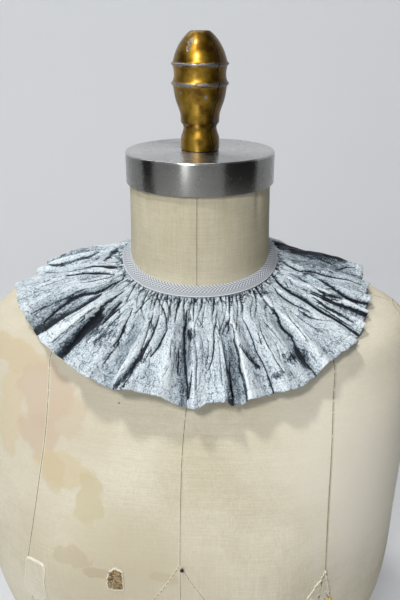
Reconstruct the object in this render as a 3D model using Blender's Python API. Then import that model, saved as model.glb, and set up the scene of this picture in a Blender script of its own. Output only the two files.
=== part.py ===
"""A gathered ruffle collar on a limbless dress form.

Metres, +Z up, the form's front toward -Y. The form stands on z = 0 with the middle of its box
over the origin. Sizes are in millimetres (MM) and angles in degrees. An angle round the neck
is 0 at the centre front and grows toward +X; the collar opens at the centre back. Pieces are
modelled round the neck's axis and moved together at the end.
"""
import math
from typing import NamedTuple

import bmesh
import bpy
import numpy as np

MM = 0.001
SEAM_GAP = 0.3                  # between pieces that are sewn or rest on each other

# ---------------------------------------------------------------- driving sizes
CAP_TOP = 712.6                 # the steel cap's top above the floor
NECK_RADIUS = 59.0              # canvas neck, a straight tube 371 mm round
BOARD_THICK = 12.0              # plywood that closes the form underneath

TAPE_WIDTH = 10.5               # folded twill tape, from its fold to its stitched edge
TAPE_REACH = 7.8                # how far out that edge is from the fold
TAPE_DROP = 7.0                 # and how far below it
TAPE_LEAF = 0.9                 # one leaf of the tape
TAPE_STEPS = 72

RUFFLE_WALL = 1.6
HEADING = 3.4                   # the strip's top edge, held between the tape's leaves
SLOPE_SPREAD = 12.0             # how much steeper the ruffle is at the hem than at the tape
SLOPE_STEPS = 12
FOLD_FULL_AT = 0.7              # share of the length at which a fold has its full height
LEAN_PER_SLOPE = 1.6            # folds rise more outward where the ruffle hangs more steeply
GATHERS = 112
GATHER_LIFT = 0.9               # half the height of a gather at the tape
BACK_SLIT = 3.6                 # degrees left open at the centre back

BODY_STEPS = 44
BUST_LIFT = 9.0
BUST_SIDE = 87.0
BUST_Z = CAP_TOP - 318.6
BUST_WIDE = 46.0
BUST_TALL = 58.0

CAP_RADIUS = 61.5
CAP_HEIGHT = 26.1
CAP_WALL = 1.2
CAP_STEPS = 48
FINIAL_STEPS = 26

CLOSURE_WIRE = 0.5              # half the thickness of the hook's and the eye's wire


class NeckRow(NamedTuple):
    """How the collar lies at one angle: its top edge's fall from the cap, and the ruffle's
    slope and length."""
    angle: float
    fall: float
    slope: float
    length: float


NECKLINE = (
    NeckRow(-175, 69.6, 42, 88),
    NeckRow(-135, 74.1, 36, 88),
    NeckRow(-115, 77.1, 26, 87),
    NeckRow(-100, 80.1, 21, 88),
    NeckRow(-85, 82.6, 17.5, 90),
    NeckRow(-75, 85.6, 16, 92),
    NeckRow(-60, 90.6, 18, 91.5),
    NeckRow(-40, 94.6, 24, 91),
    NeckRow(-20, 96.6, 31, 92),
    NeckRow(5, 97.3, 40, 92),
    NeckRow(30, 96.4, 35, 92),
    NeckRow(50, 94.2, 26.5, 91),
    NeckRow(65, 91.6, 21, 89.5),
    NeckRow(77, 88.4, 19.5, 86),
    NeckRow(87, 85.1, 19.5, 85),
    NeckRow(98, 81.6, 19.5, 87.5),
    NeckRow(112, 78.1, 20, 88),
    NeckRow(125, 76.1, 28, 87),
    NeckRow(145, 73.6, 36, 88),
)


class Fold(NamedTuple):
    """A ridge (lift above 0) or a trough of the ruffle, by its angle at the tape and at the
    hem, and how much the hem is drawn up there."""
    band: float
    hem: float
    lift: float
    drawn_up: float = 0.0


FOLDS = (
    Fold(-171, -171, 4), Fold(-162, -163, -5), Fold(-152, -152, 6), Fold(-143, -142, -2.5),
    Fold(-134, -134, 5), Fold(-125, -124, -2.5), Fold(-112, -110, 2), Fold(-107, -104, 5),
    Fold(-101, -100, -2), Fold(-95, -96, 4), Fold(-89, -92, -2), Fold(-82, -85, 9),
    Fold(-72, -75, 8), Fold(-61, -63, 5), Fold(-58, -60, -10), Fold(-56, -58.5, -12),
    Fold(-53, -54.5, 4), Fold(-47, -45, 5), Fold(-42, -42.5, -10), Fold(-40.5, -41.5, -11),
    Fold(-38, -39, 5), Fold(-29, -30, 4), Fold(-23, -23.5, -7), Fold(-20, -20.5, 4),
    Fold(-12, -12, 1, 4), Fold(-7, -7, 6, 4.5), Fold(-3, 0.5, -6), Fold(0.5, 3.5, 4),
    Fold(5, 7.5, 2, 4), Fold(11, 13, 5, 4), Fold(14, 14.5, 4, 1), Fold(15.5, 15.7, -7),
    Fold(19.5, 18.5, -7), Fold(21.5, 20, 5, 4), Fold(26.5, 27.5, -3, 2), Fold(31, 32, 4),
    Fold(38, 37, 1), Fold(43, 44, -6), Fold(45, 46, 5, 3), Fold(50, 51, 1, 2),
    Fold(57, 59, 4), Fold(61, 63, -8), Fold(64, 65.5, -6), Fold(66.5, 68, 2),
    Fold(69, 72, -6), Fold(71.5, 75, 3), Fold(75, 79.5, -4), Fold(78, 83, 4),
    Fold(82, 87.5, -2.5), Fold(88, 93, 4), Fold(98, 100, -1), Fold(104, 107, 5),
    Fold(111, 113, -3), Fold(119, 120, 4), Fold(128, 129, -2), Fold(137, 138, 6),
    Fold(146, 147, -5), Fold(155, 155, 5), Fold(164, 165, -5), Fold(172, 172, 4),
)
RUFFLE_ROWS = (0.0, 0.04, 0.11, 0.21, 0.34, 0.49, 0.65, 0.82, 1.0)


class NeckRing(NamedTuple):
    """One ring of the form's shoulders: its fall from the neckline, and its reach, each at the
    front, side and back."""
    front_fall: float
    front: float
    side_fall: float
    side: float
    back_fall: float
    back: float


SHOULDERS = (
    NeckRing(5.6, 59, 5.6, 59, 5.6, 59),
    NeckRing(10, 61, 10, 62.5, 10, 62),
    NeckRing(16, 66, 16, 74, 20, 70),
    NeckRing(23, 73, 23.5, 96, 31, 80),
    NeckRing(31, 80, 33, 124, 46, 90),
    NeckRing(40, 88, 42.5, 150, 62, 99),
    NeckRing(50, 96, 48, 172, 77, 106),
    NeckRing(61, 104, 59, 190, 92, 112),
)


class Girth(NamedTuple):
    """One level section of the form: its fall from the cap, half width, front and back reach,
    how square it is (2 is an ellipse), and how far it leans toward -X of the neck."""
    fall: float
    side: float
    front: float
    back: float
    square: float
    lean: float


TORSO = (
    Girth(184.6, 197, 121, 117, 2.1, 4),
    Girth(220.6, 198.5, 133, 119, 2.2, 7),
    Girth(262.6, 198.5, 142, 117, 2.3, 10),
    Girth(300.6, 198, 147, 112, 2.3, 11.5),
    Girth(335.6, 197.5, 147, 107, 2.3, 11.5),
    Girth(380.6, 197, 142, 98, 2.25, 11.5),
    Girth(420.6, 191, 134, 92, 2.2, 11.5),
    Girth(455.6, 181, 125, 88, 2.15, 11.5),
    Girth(485.6, 170, 119, 87.5, 2.1, 11.5),
    Girth(515.6, 162, 117, 92, 2.1, 11.5),
    Girth(550.6, 160, 118, 101, 2.15, 11.5),
    Girth(595.6, 166, 120, 112, 2.2, 11.5),
    Girth(645.6, 176, 121, 120, 2.2, 11.5),
    Girth(700.3, 182, 119, 123, 2.2, 11.5),
)


class Turning(NamedTuple):
    """One ring of a turned piece: its height above the piece's foot and its radius."""
    height: float
    radius: float


FINIAL = (
    Turning(0.3, 15.5), Turning(1.2, 15.8), Turning(9.0, 15.8), Turning(11.0, 15.6),
    Turning(13.3, 14.7), Turning(16.0, 13.8), Turning(18.1, 13.4), Turning(20.0, 13.9),
    Turning(21.4, 14.9), Turning(22.4, 15.6), Turning(24.4, 15.7), Turning(27.5, 15.8),
    Turning(30.0, 16.3), Turning(33.1, 17.4), Turning(36.5, 18.7), Turning(39.3, 19.6),
    Turning(43.5, 20.6), Turning(47.0, 21.2), Turning(50.5, 21.8), Turning(52.5, 23.2),
    Turning(54.0, 22.3), Turning(57.0, 21.0), Turning(60.1, 20.8), Turning(63.5, 21.3),
    Turning(66.0, 22.2), Turning(67.4, 23.2), Turning(68.8, 21.9), Turning(71.3, 20.9),
    Turning(74.5, 19.4), Turning(77.3, 17.8), Turning(81.0, 15.3), Turning(84.6, 12.5),
    Turning(88.5, 9.7), Turning(91.0, 7.6), Turning(91.8, 6.2),
)


# ---------------------------------------------------------------- shared helpers
def clear_scene():
    for old in list(bpy.data.objects):
        bpy.data.objects.remove(old, do_unlink=True)


def material(name, color, roughness, metallic=0.0):
    mat = bpy.data.materials.new(name)
    mat.use_nodes = True
    shader = mat.node_tree.nodes["Principled BSDF"]
    shader.inputs["Base Color"].default_value = (*color, 1.0)
    shader.inputs["Roughness"].default_value = roughness
    shader.inputs["Metallic"].default_value = metallic
    mat.diffuse_color = (*color, 1.0)
    return mat


def add_rings(name, rings, mat, round_closed=True, sharp_from=40.0, across_closed=False):
    """A closed solid through rings of points in millimetres. round_closed joins each ring's
    ends; across_closed joins the last ring to the first, and otherwise both are capped."""
    count, steps = len(rings), len(rings[0])
    mesh = bmesh.new()
    grid = [[mesh.verts.new([c * MM for c in point]) for point in ring] for ring in rings]
    for i in range(count if across_closed else count - 1):
        here, after = grid[i], grid[(i + 1) % count]
        for j in range(steps if round_closed else steps - 1):
            k = (j + 1) % steps
            mesh.faces.new((here[j], here[k], after[k], after[j]))
    if round_closed and not across_closed:
        mesh.faces.new(grid[0])
        mesh.faces.new(grid[-1])
    if across_closed and not round_closed:
        mesh.faces.new([ring[0] for ring in grid])
        mesh.faces.new([ring[-1] for ring in grid])
    return finish(name, mesh, mat, sharp_from)


def finish(name, mesh, mat, sharp_from):
    bmesh.ops.recalc_face_normals(mesh, faces=mesh.faces)
    data = bpy.data.meshes.new(name)
    mesh.to_mesh(data)
    mesh.free()
    data.shade_smooth()
    data.set_sharp_from_angle(angle=math.radians(sharp_from))
    data.materials.append(mat)
    piece = bpy.data.objects.new(name, data)
    bpy.context.collection.objects.link(piece)
    return piece


def around(angle, radius, height):
    """A point at an angle from the centre front, as (x, y, z)."""
    turn = math.radians(angle)
    return (radius * math.sin(turn), -radius * math.cos(turn), height)


def smooth_step(x):
    x = min(max(x, 0.0), 1.0)
    return x * x * (3.0 - 2.0 * x)


def round_curve(angles, values, at):
    """A smooth closed curve of values over angles, read at one angle (degrees)."""
    count = len(angles)
    at = (at - angles[0]) % 360.0 + angles[0]
    i = max(k for k in range(count) if angles[k] <= at)

    def knot(k):
        return angles[k % count] + 360.0 * (k // count), values[k % count]

    (a0, v0), (a1, v1), (a2, v2), (a3, v3) = (knot(i + step) for step in (-1, 0, 1, 2))
    width = a2 - a1
    rise_in = (v2 - v0) / (a2 - a0) * width
    rise_out = (v3 - v1) / (a3 - a1) * width
    t = (at - a1) / width
    return ((2 * t**3 - 3 * t**2 + 1) * v1 + (t**3 - 2 * t**2 + t) * rise_in
            + (3 * t**2 - 2 * t**3) * v2 + (t**3 - t**2) * rise_out)


def neckline_at(angle):
    """The neckline's row at any angle."""
    angles = [row.angle for row in NECKLINE]
    sizes = [round_curve(angles, column, angle) for column in list(zip(*NECKLINE))[1:]]
    return NeckRow(angle, *sizes)


def tape_top(angle):
    """Height of the collar's top edge."""
    return CAP_TOP - neckline_at(angle).fall


# ---------------------------------------------------------------- the dress form
def torso_ring(row):
    """A level section, front and back halves of their own depth."""
    ring = []
    height = CAP_TOP - row.fall
    power = 2.0 / row.square
    for step in range(BODY_STEPS):
        turn = 2.0 * math.pi * step / BODY_STEPS
        x = row.side * math.copysign(abs(math.sin(turn)) ** power, math.sin(turn))
        depth = row.front if math.cos(turn) > 0 else row.back
        y = -depth * math.copysign(abs(math.cos(turn)) ** power, math.cos(turn))
        if y < 0:
            bust = sum(math.exp(-((x - side) / BUST_WIDE) ** 2) for side in (-BUST_SIDE, BUST_SIDE))
            y -= BUST_LIFT * bust * math.exp(-((height - BUST_Z) / BUST_TALL) ** 2)
        ring.append((x - row.lean, y, height))
    return ring


def shoulder_ring(row):
    """A ring that falls from the neckline and spreads to the shoulders."""
    ring = []
    for step in range(BODY_STEPS):
        turn = 2.0 * math.pi * step / BODY_STEPS
        to_side, to_front = math.sin(turn) ** 2, math.cos(turn) ** 2
        depth = row.front if math.cos(turn) > 0 else row.back
        fall = row.front_fall if math.cos(turn) > 0 else row.back_fall
        reach = 1.0 / math.sqrt(to_front / depth**2 + to_side / row.side**2)
        height = tape_top(math.degrees(turn)) - fall * to_front - row.side_fall * to_side
        ring.append(around(math.degrees(turn), reach, height))
    return ring


def neck_ring(height):
    return [around(360.0 * step / BODY_STEPS, NECK_RADIUS, height) for step in range(BODY_STEPS)]


def build_body():
    canvas = material("canvas", (0.62, 0.56, 0.43), 0.85)
    neck_top = CAP_TOP - CAP_WALL - SEAM_GAP
    rings = [neck_ring(neck_top), neck_ring(CAP_TOP - 40.0)]
    rings += [shoulder_ring(row) for row in SHOULDERS]
    rings += [torso_ring(row) for row in TORSO]
    return add_rings("form_body", rings, canvas)


def build_base_board():
    """The plywood under the form, a little smaller than the canvas above it."""
    plywood = material("plywood", (0.42, 0.30, 0.17), 0.7)
    foot = TORSO[-1]
    inset = 2.0
    low = foot._replace(fall=CAP_TOP, side=foot.side - inset, front=foot.front - inset,
                        back=foot.back - inset)
    high = low._replace(fall=CAP_TOP - BOARD_THICK)
    return add_rings("form_base_board", [torso_ring(low), torso_ring(high)], plywood)


def build_cap():
    """A steel cup turned over the neck, its lower edge rolled in."""
    steel = material("brushed_steel", (0.55, 0.55, 0.54), 0.32, 1.0)
    inner = CAP_RADIUS - CAP_WALL
    profile = (
        (0.0, CAP_RADIUS - 1.6), (0.5, CAP_RADIUS - 0.5), (1.6, CAP_RADIUS),
        (CAP_HEIGHT - 1.4, CAP_RADIUS), (CAP_HEIGHT - 0.4, CAP_RADIUS - 0.4),
        (CAP_HEIGHT, CAP_RADIUS - 1.1), (CAP_HEIGHT - 0.6, NECK_RADIUS + 0.6),
        (CAP_HEIGHT - 2.2, inner), (CAP_WALL, inner),
    )
    rings = [[around(360.0 * step / CAP_STEPS, radius, CAP_TOP - fall)
              for step in range(CAP_STEPS)] for fall, radius in profile]
    return add_rings("form_cap", rings, steel)


def build_finial():
    """The turned and gilded knob that is screwed to the cap."""
    gold = material("worn_gold", (0.38, 0.24, 0.05), 0.42, 0.8)
    rings = [[around(360.0 * step / FINIAL_STEPS, row.radius, CAP_TOP + row.height)
              for step in range(FINIAL_STEPS)] for row in FINIAL]
    return add_rings("form_finial", rings, gold)


# ---------------------------------------------------------------- the collar
def slit_angles(count):
    """Angles from one edge of the back opening round to the other."""
    half = 180.0 - BACK_SLIT / 2.0
    return [-half + 2.0 * half * i / (count - 1) for i in range(count)]


def across_tape(along, depth):
    """Radius and height, against the fold, of a place on the tape: along its width from the
    fold, and depth under its outer face."""
    size = math.hypot(TAPE_REACH, TAPE_DROP)
    run, fall = TAPE_REACH / size, TAPE_DROP / size
    start = NECK_RADIUS + 2 * SEAM_GAP
    return start + run * along - fall * depth, -fall * along - run * depth


def tape_section():
    """The tape folded over the strip's heading: a thick fold, an outer and an inner leaf."""
    slot_in = TAPE_LEAF + 2 * SEAM_GAP + RUFFLE_WALL
    full = slot_in + TAPE_LEAF
    slot_top = TAPE_WIDTH - HEADING - SEAM_GAP
    inner = NECK_RADIUS + SEAM_GAP
    inner_top = -0.4
    corners = [across_tape(0.0, 0.0), across_tape(TAPE_WIDTH, 0.0),
               across_tape(TAPE_WIDTH, TAPE_LEAF), across_tape(slot_top, TAPE_LEAF),
               across_tape(slot_top, slot_in), across_tape(TAPE_WIDTH, slot_in),
               across_tape(TAPE_WIDTH, full)]
    last_radius, last_height = corners[-1]
    rise = (last_radius - inner) * TAPE_DROP / TAPE_REACH
    return corners + [(inner, last_height + rise), (inner, inner_top)]


def build_tape():
    twill = material("twill_tape", (0.42, 0.42, 0.47), 0.75)
    section = tape_section()
    rings = []
    for angle in slit_angles(TAPE_STEPS + 1):
        top = tape_top(angle)
        rings.append([around(angle, radius, top + height) for radius, height in section])
    return add_rings("neck_tape", rings, twill, sharp_from=30.0)


def fold_at(angle):
    """The fold's row below one angle of the tape, eased between the rows beside it."""
    rows = [Fold(-180.0, -180.0, 0.0), *FOLDS, Fold(180.0, 180.0, 0.0)]
    for before, after in zip(rows, rows[1:]):
        if before.band <= angle <= after.band:
            share = (angle - before.band) / (after.band - before.band)
            ease = smooth_step(share)
            return Fold(angle, before.hem + (after.hem - before.hem) * share,
                        before.lift + (after.lift - before.lift) * ease,
                        before.drawn_up + (after.drawn_up - before.drawn_up) * ease)
    raise ValueError(angle)


def ruffle_point(angle, share):
    """A place on the ruffle's middle surface without its gathers. share is 0 at the tape's
    edge and 1 at the hem; below 0 it is in the heading."""
    fold = fold_at(angle)
    at = angle + (fold.hem - angle) * max(share, 0.0)
    row = neckline_at(at)
    radius, height = across_tape(TAPE_WIDTH, TAPE_LEAF + SEAM_GAP + RUFFLE_WALL / 2.0)
    height += CAP_TOP - row.fall
    if share <= 0.0:
        tape_slope = math.atan2(TAPE_DROP, TAPE_REACH)
        radius += share * row.length * math.cos(tape_slope)
        height -= share * row.length * math.sin(tape_slope)
        return np.array(around(at, radius, height))
    length = (row.length - fold.drawn_up) * share
    for step in range(SLOPE_STEPS):
        here = (step + 0.5) / SLOPE_STEPS * share
        tilt = math.radians(row.slope + SLOPE_SPREAD * (here - 0.5))
        radius += math.cos(tilt) * length / SLOPE_STEPS
        height -= math.sin(tilt) * length / SLOPE_STEPS
    lean = math.radians(90.0 - LEAN_PER_SLOPE * row.slope)
    lift = fold.lift * smooth_step(share / FOLD_FULL_AT) ** 0.8
    radius += lift * math.cos(lean)
    height += lift * math.sin(lean)
    return np.array(around(at, radius, height))


def ruffle_normal(angle, share):
    """The way the cloth faces there, up and out."""
    angle_step, share_step = 0.5, 0.01
    limit = 180.0
    along = (ruffle_point(min(angle + angle_step, limit), share)
             - ruffle_point(max(angle - angle_step, -limit), share))
    down = ruffle_point(angle, share + share_step) - ruffle_point(angle, share - share_step)
    normal = np.cross(down, along)
    return normal / np.linalg.norm(normal)


def gather_fade(share):
    """Gathers are flat under the tape, full at its edge and soft at the hem."""
    return smooth_step((share + 0.005) / 0.03) * (1.0 - 0.8 * smooth_step(share / 0.7))


def build_ruffle():
    """The gathered strip: a wall through rows from the heading to the hem."""
    cloth = material("ruffle_cloth", (0.40, 0.44, 0.49), 0.45, 0.3)
    rings = []
    for column, angle in enumerate(slit_angles(2 * GATHERS + 1)):
        side = 1.0 if column % 2 else -1.0
        shares = [-HEADING / neckline_at(angle).length, *RUFFLE_ROWS]
        over, under = [], []
        for share in shares:
            normal = ruffle_normal(angle, share)
            middle = ruffle_point(angle, share) + normal * side * GATHER_LIFT * gather_fade(share)
            over.append(middle + normal * RUFFLE_WALL / 2.0)
            under.append(middle - normal * RUFFLE_WALL / 2.0)
        rings.append(over + under[::-1])
    return add_rings("ruffle", rings, cloth, sharp_from=60.0)


def wire(name, path, mat):
    """A bent wire through a few points in millimetres."""
    curve = bpy.data.curves.new(name, "CURVE")
    curve.dimensions = "3D"
    curve.bevel_depth = CLOSURE_WIRE * MM
    curve.bevel_resolution = 1
    curve.use_fill_caps = True
    spline = curve.splines.new("POLY")
    spline.points.add(len(path) - 1)
    for point, place in zip(spline.points, path):
        point.co = (*(c * MM for c in place), 1.0)
    curve.materials.append(mat)
    piece = bpy.data.objects.new(name, curve)
    bpy.context.collection.objects.link(piece)
    return piece


def closure_point(side, along, depth):
    """A place near the tape's ends: side is millimetres from the centre back toward -X."""
    radius, height = across_tape(along, depth)
    return (-side, radius, tape_top(180.0) + height)


def build_closure():
    """One hook and one eye, bent from wire, that close the tape at the centre back."""
    steel = material("closure_steel", (0.50, 0.50, 0.52), 0.35, 1.0)
    end = NECK_RADIUS * math.sin(math.radians(BACK_SLIT / 2.0)) - SEAM_GAP
    depth, middle, half = 0.9, 3.3, 1.8
    low, high = middle - half, middle + half
    arc = [math.radians(a) for a in range(-90, 91, 30)]
    eye = [closure_point(-end, low, depth)]
    eye += [closure_point(0.2 + 0.9 * math.cos(a), middle + half * math.sin(a), depth) for a in arc]
    eye += [closure_point(-end, high, depth)]
    hook = [closure_point(end, middle, depth + 1.35), closure_point(0.1, middle, depth + 1.35),
            closure_point(-0.8, middle, depth + 1.0), closure_point(-1.2, middle, depth),
            closure_point(-0.8, middle, depth - 1.0), closure_point(0.4, middle, depth - 1.4)]
    return [wire("closure_eye", eye, steel), wire("closure_hook", hook, steel)]


def centre_on_origin(pieces):
    """Move every piece together so that their box, seen from above, is centred on the origin.
    The hook and eye are wire curves well inside it."""
    corners = [corner.co for piece in pieces if piece.type == "MESH"
               for corner in piece.data.vertices]
    for axis in (0, 1):
        reach = [corner[axis] for corner in corners]
        for piece in pieces:
            piece.location[axis] = -(min(reach) + max(reach)) / 2.0


def main():
    clear_scene()
    pieces = [build_body(), build_base_board(), build_cap(), build_finial(), build_ruffle(),
              build_tape(), *build_closure()]
    centre_on_origin(pieces)


main()
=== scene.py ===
"""Looks of a gathered ruffle collar on a dress form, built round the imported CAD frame.

Sizes are in millimetres and angles in degrees; cards and lights are measured in metres.
"""
import math
import random

import bmesh
import bpy
import numpy as np
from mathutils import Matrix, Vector
from mathutils.bvhtree import BVHTree


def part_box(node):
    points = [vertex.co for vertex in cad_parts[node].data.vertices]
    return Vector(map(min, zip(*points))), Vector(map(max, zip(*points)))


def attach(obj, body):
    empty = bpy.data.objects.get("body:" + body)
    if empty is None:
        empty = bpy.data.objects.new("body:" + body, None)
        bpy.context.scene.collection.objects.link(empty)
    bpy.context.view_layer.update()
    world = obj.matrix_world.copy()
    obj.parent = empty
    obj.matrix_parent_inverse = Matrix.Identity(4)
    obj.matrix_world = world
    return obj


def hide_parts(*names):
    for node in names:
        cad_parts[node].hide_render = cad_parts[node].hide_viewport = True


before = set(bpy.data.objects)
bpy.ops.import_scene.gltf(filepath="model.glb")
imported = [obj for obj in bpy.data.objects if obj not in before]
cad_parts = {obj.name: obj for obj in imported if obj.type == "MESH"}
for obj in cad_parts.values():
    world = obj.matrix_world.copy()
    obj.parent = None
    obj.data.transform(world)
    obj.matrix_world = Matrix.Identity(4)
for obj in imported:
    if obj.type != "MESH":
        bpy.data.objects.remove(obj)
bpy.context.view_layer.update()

# ------------------------------------------------------------------ studio and camera
# The form stands in the middle of a round white studio whose floor curves up into its wall.
# Three soft lights stand to the front left, the wall behind has a light of its own, and two
# black cards to the right and left, which the camera doesn't see, shape the metal.
MM = 0.001
cap_low, cap_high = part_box("form_cap")
NECK_X = (cap_low.x + cap_high.x) / 2
NECK_Y = (cap_low.y + cap_high.y) / 2
CAP_TOP = cap_high.z
CAMERA_TURN, CAMERA_TILT = 5.0, 21.9
CAMERA_DISTANCE, CAMERA_ABOVE_CAP = 583.0, 100.4
CAMERA_LENS = 42.06
STUDIO_RADIUS, STUDIO_COVE, STUDIO_TALL = 2700.0, 900.0, 3000.0
CARD_DISTANCE, CARD_ABOVE_CAP, CARD_TALL = 1250.0, 137.4, 1.7
COLLAR_BELOW_CAP = 100.0
ROOM_COLOR, ROOM_STRENGTH = (0.80, 0.84, 0.90), 0.08


def around(angle, radius, height):
    """Points round the neck's axis, in metres: the angle is from the centre front, and radius
    and height above the cap's top are in millimetres."""
    turn = np.radians(angle)
    return np.stack([NECK_X + MM * radius * np.sin(turn), NECK_Y - MM * radius * np.cos(turn),
                     CAP_TOP + MM * height], axis=-1)


def pick(piece=None):
    """Leave edit mode and select one piece, or nothing."""
    if bpy.context.object and bpy.context.object.mode != "OBJECT":
        bpy.ops.object.mode_set(mode="OBJECT")
    bpy.ops.object.select_all(action="DESELECT")
    if piece is not None:
        bpy.context.view_layer.objects.active = piece
        piece.select_set(True)


def face_outwards():
    """Turn the picked piece's faces outwards."""
    bpy.ops.object.mode_set(mode="EDIT")
    bpy.ops.mesh.select_all(action="SELECT")
    bpy.ops.mesh.normals_make_consistent(inside=False)
    bpy.ops.object.mode_set(mode="OBJECT")


def shape_with(piece, kind, **settings):
    """Add a modifier with its settings and apply it."""
    pick(piece)
    modifier = piece.modifiers.new("shaping", kind)
    for key, value in settings.items():
        setattr(modifier, key, value)
    bpy.ops.object.modifier_apply(modifier=modifier.name)


def turned(name, rows, steps, smoothed=0, axis=(NECK_X, NECK_Y, CAP_TOP), sharp=35, open_top=False):
    """A piece turned round an upright axis, drawn up ring by ring from rows of its height and
    radius in millimetres. Edges that bend more than sharp degrees stay crisp."""
    pick()
    height, radius = rows[0]
    bpy.ops.mesh.primitive_circle_add(vertices=steps, radius=radius * MM, fill_type="NGON",
                                      location=(*axis[:2], axis[2] + height * MM))
    piece = bpy.context.object
    piece.name = name
    bpy.ops.object.mode_set(mode="EDIT")
    bpy.ops.mesh.select_all(action="SELECT")
    for next_height, next_radius in rows[1:]:
        bpy.ops.mesh.extrude_region_move(
            TRANSFORM_OT_translate={"value": (0.0, 0.0, (next_height - height) * MM)})
        bpy.ops.transform.resize(value=(next_radius / radius, next_radius / radius, 1.0),
                                 center_override=(*axis[:2], axis[2] + next_height * MM))
        height, radius = next_height, next_radius
    if open_top:
        bpy.ops.mesh.delete(type="ONLY_FACE")
    bpy.ops.object.mode_set(mode="OBJECT")
    face_outwards()
    if smoothed:
        shape_with(piece, "SUBSURF", levels=smoothed, render_levels=smoothed)
    bpy.ops.object.transform_apply(location=True, rotation=True, scale=True)
    bpy.ops.object.shade_smooth_by_angle(angle=math.radians(sharp))
    return piece


class Finish:
    """A material put together from nodes. Where a value is asked for, it may be a number, a
    colour or what another node gives."""

    def __init__(self, name, color, roughness, **own):
        self.material = bpy.data.materials.new(name)
        self.material.use_nodes = True
        self.shader = self.material.node_tree.nodes["Principled BSDF"].inputs
        for key, value in {"Base_Color": color, "Roughness": roughness, **own}.items():
            self.feed(self.shader[key.replace("_", " ")], value)

    def feed(self, socket, value):
        """Set a socket to a value, or link what another node gives to it."""
        if hasattr(value, "links"):
            self.material.node_tree.links.new(value, socket)
        else:
            socket.default_value = (*value, 1.0)[:4] if socket.type == "RGBA" else value

    def cover(self, piece):
        piece.data.materials.clear()
        piece.data.materials.append(self.material)


pick()
bpy.ops.object.camera_add(location=around(CAMERA_TURN, CAMERA_DISTANCE, CAMERA_ABOVE_CAP),
                          rotation=(math.radians(90.0 - CAMERA_TILT), 0.0,
                                    math.radians(CAMERA_TURN)))
camera = bpy.context.object
camera.name = "camera"
camera.data.lens = CAMERA_LENS
camera.data.clip_start = 0.01
bpy.context.scene.camera = camera

cove = [(STUDIO_COVE * (1 - math.cos(a)), STUDIO_RADIUS - STUDIO_COVE * (1 - math.sin(a)))
        for a in (math.radians(d) for d in range(0, 91, 10))]
studio = turned("floor_and_wall", cove + [(STUDIO_TALL, STUDIO_RADIUS)], 96, axis=(0, 0, 0),
                sharp=180, open_top=True)
Finish("pale_wall", (0.73, 0.74, 0.755), 0.9).cover(studio)
black_cloth = Finish("black_cloth", (0.01, 0.01, 0.01), 0.95)
for name, azimuth, wide in (("right_card", 70, 1.4), ("left_card", -80, 0.5)):
    bpy.ops.mesh.primitive_plane_add(
        size=1.0, rotation=(math.pi / 2, 0.0, math.radians(azimuth)),
        location=around(azimuth, CARD_DISTANCE, CARD_ABOVE_CAP))
    card = bpy.context.object
    card.name = name
    card.scale = (wide, CARD_TALL, 1.0)
    bpy.ops.object.transform_apply(location=False, rotation=False, scale=True)
    black_cloth.cover(card)
    card.visible_camera = False
    card.visible_shadow = False


def area_light(name, place, target, size, power, color):
    bpy.ops.object.light_add(type="AREA", location=place)
    light = bpy.context.object
    light.name = name
    light.data.shape = "RECTANGLE"
    light.data.size, light.data.size_y = size
    light.data.energy = power
    light.data.color = color
    facing = Vector(target) - light.location
    light.rotation_euler = facing.to_track_quat("-Z", "Y").to_euler()


for name, azimuth, elevation, distance, size, power, color in (
        ("window", -12, 37, 2500, (0.35, 0.3), 27.0, (1.0, 0.985, 0.965)),
        ("skylight", -36, 66, 2000, (0.2, 0.2), 19.5, (1.0, 0.99, 0.97)),
        ("room_fill", -17, 8, 2200, (0.36, 1.4), 6.2, (0.95, 0.97, 1.0))):
    up = math.radians(elevation)
    area_light(name, around(azimuth, distance * math.cos(up),
                            distance * math.sin(up) - COLLAR_BELOW_CAP),
               around(0, 0, -COLLAR_BELOW_CAP), size, power, color)
area_light("wall_light", (-0.7, 0.9, 2.5), (-0.1, 2.5, 0.5), (2.2, 0.6), 25.0, (0.97, 0.98, 1.0))

world = bpy.data.worlds.new("room")
bpy.context.scene.world = world
world.use_nodes = True
world.node_tree.nodes["Background"].inputs["Color"].default_value = (*ROOM_COLOR, 1.0)
world.node_tree.nodes["Background"].inputs["Strength"].default_value = ROOM_STRENGTH
bpy.context.scene.view_settings.view_transform = "Standard"

# ------------------------------------------------------------------ form body
# The torso is papier-mache covered with unbleached linen canvas, cut in long panels and sewn
# down the centre front, the centre back and over each bust. It is stained and rubbed with use,
# and broad washes of painted shade and painted light lie over it.
BODY_DETAIL = 2
MERGE_WITHIN, BOTTOM_WITHIN, FLAT_WITHIN = 0.02, 0.5, 60.0
THREAD_PITCH = 0.42
CANVAS_LIGHT, CANVAS_DARK = (0.745, 0.70, 0.565), (0.64, 0.585, 0.44)
# painted shade: the neck's canvas is darkened between these heights below the cap's top
NECK_SHADE_FROM, NECK_SHADE_TO, NECK_SHADE_TINT = 115.0, 85.0, (0.79, 0.775, 0.72)


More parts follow.
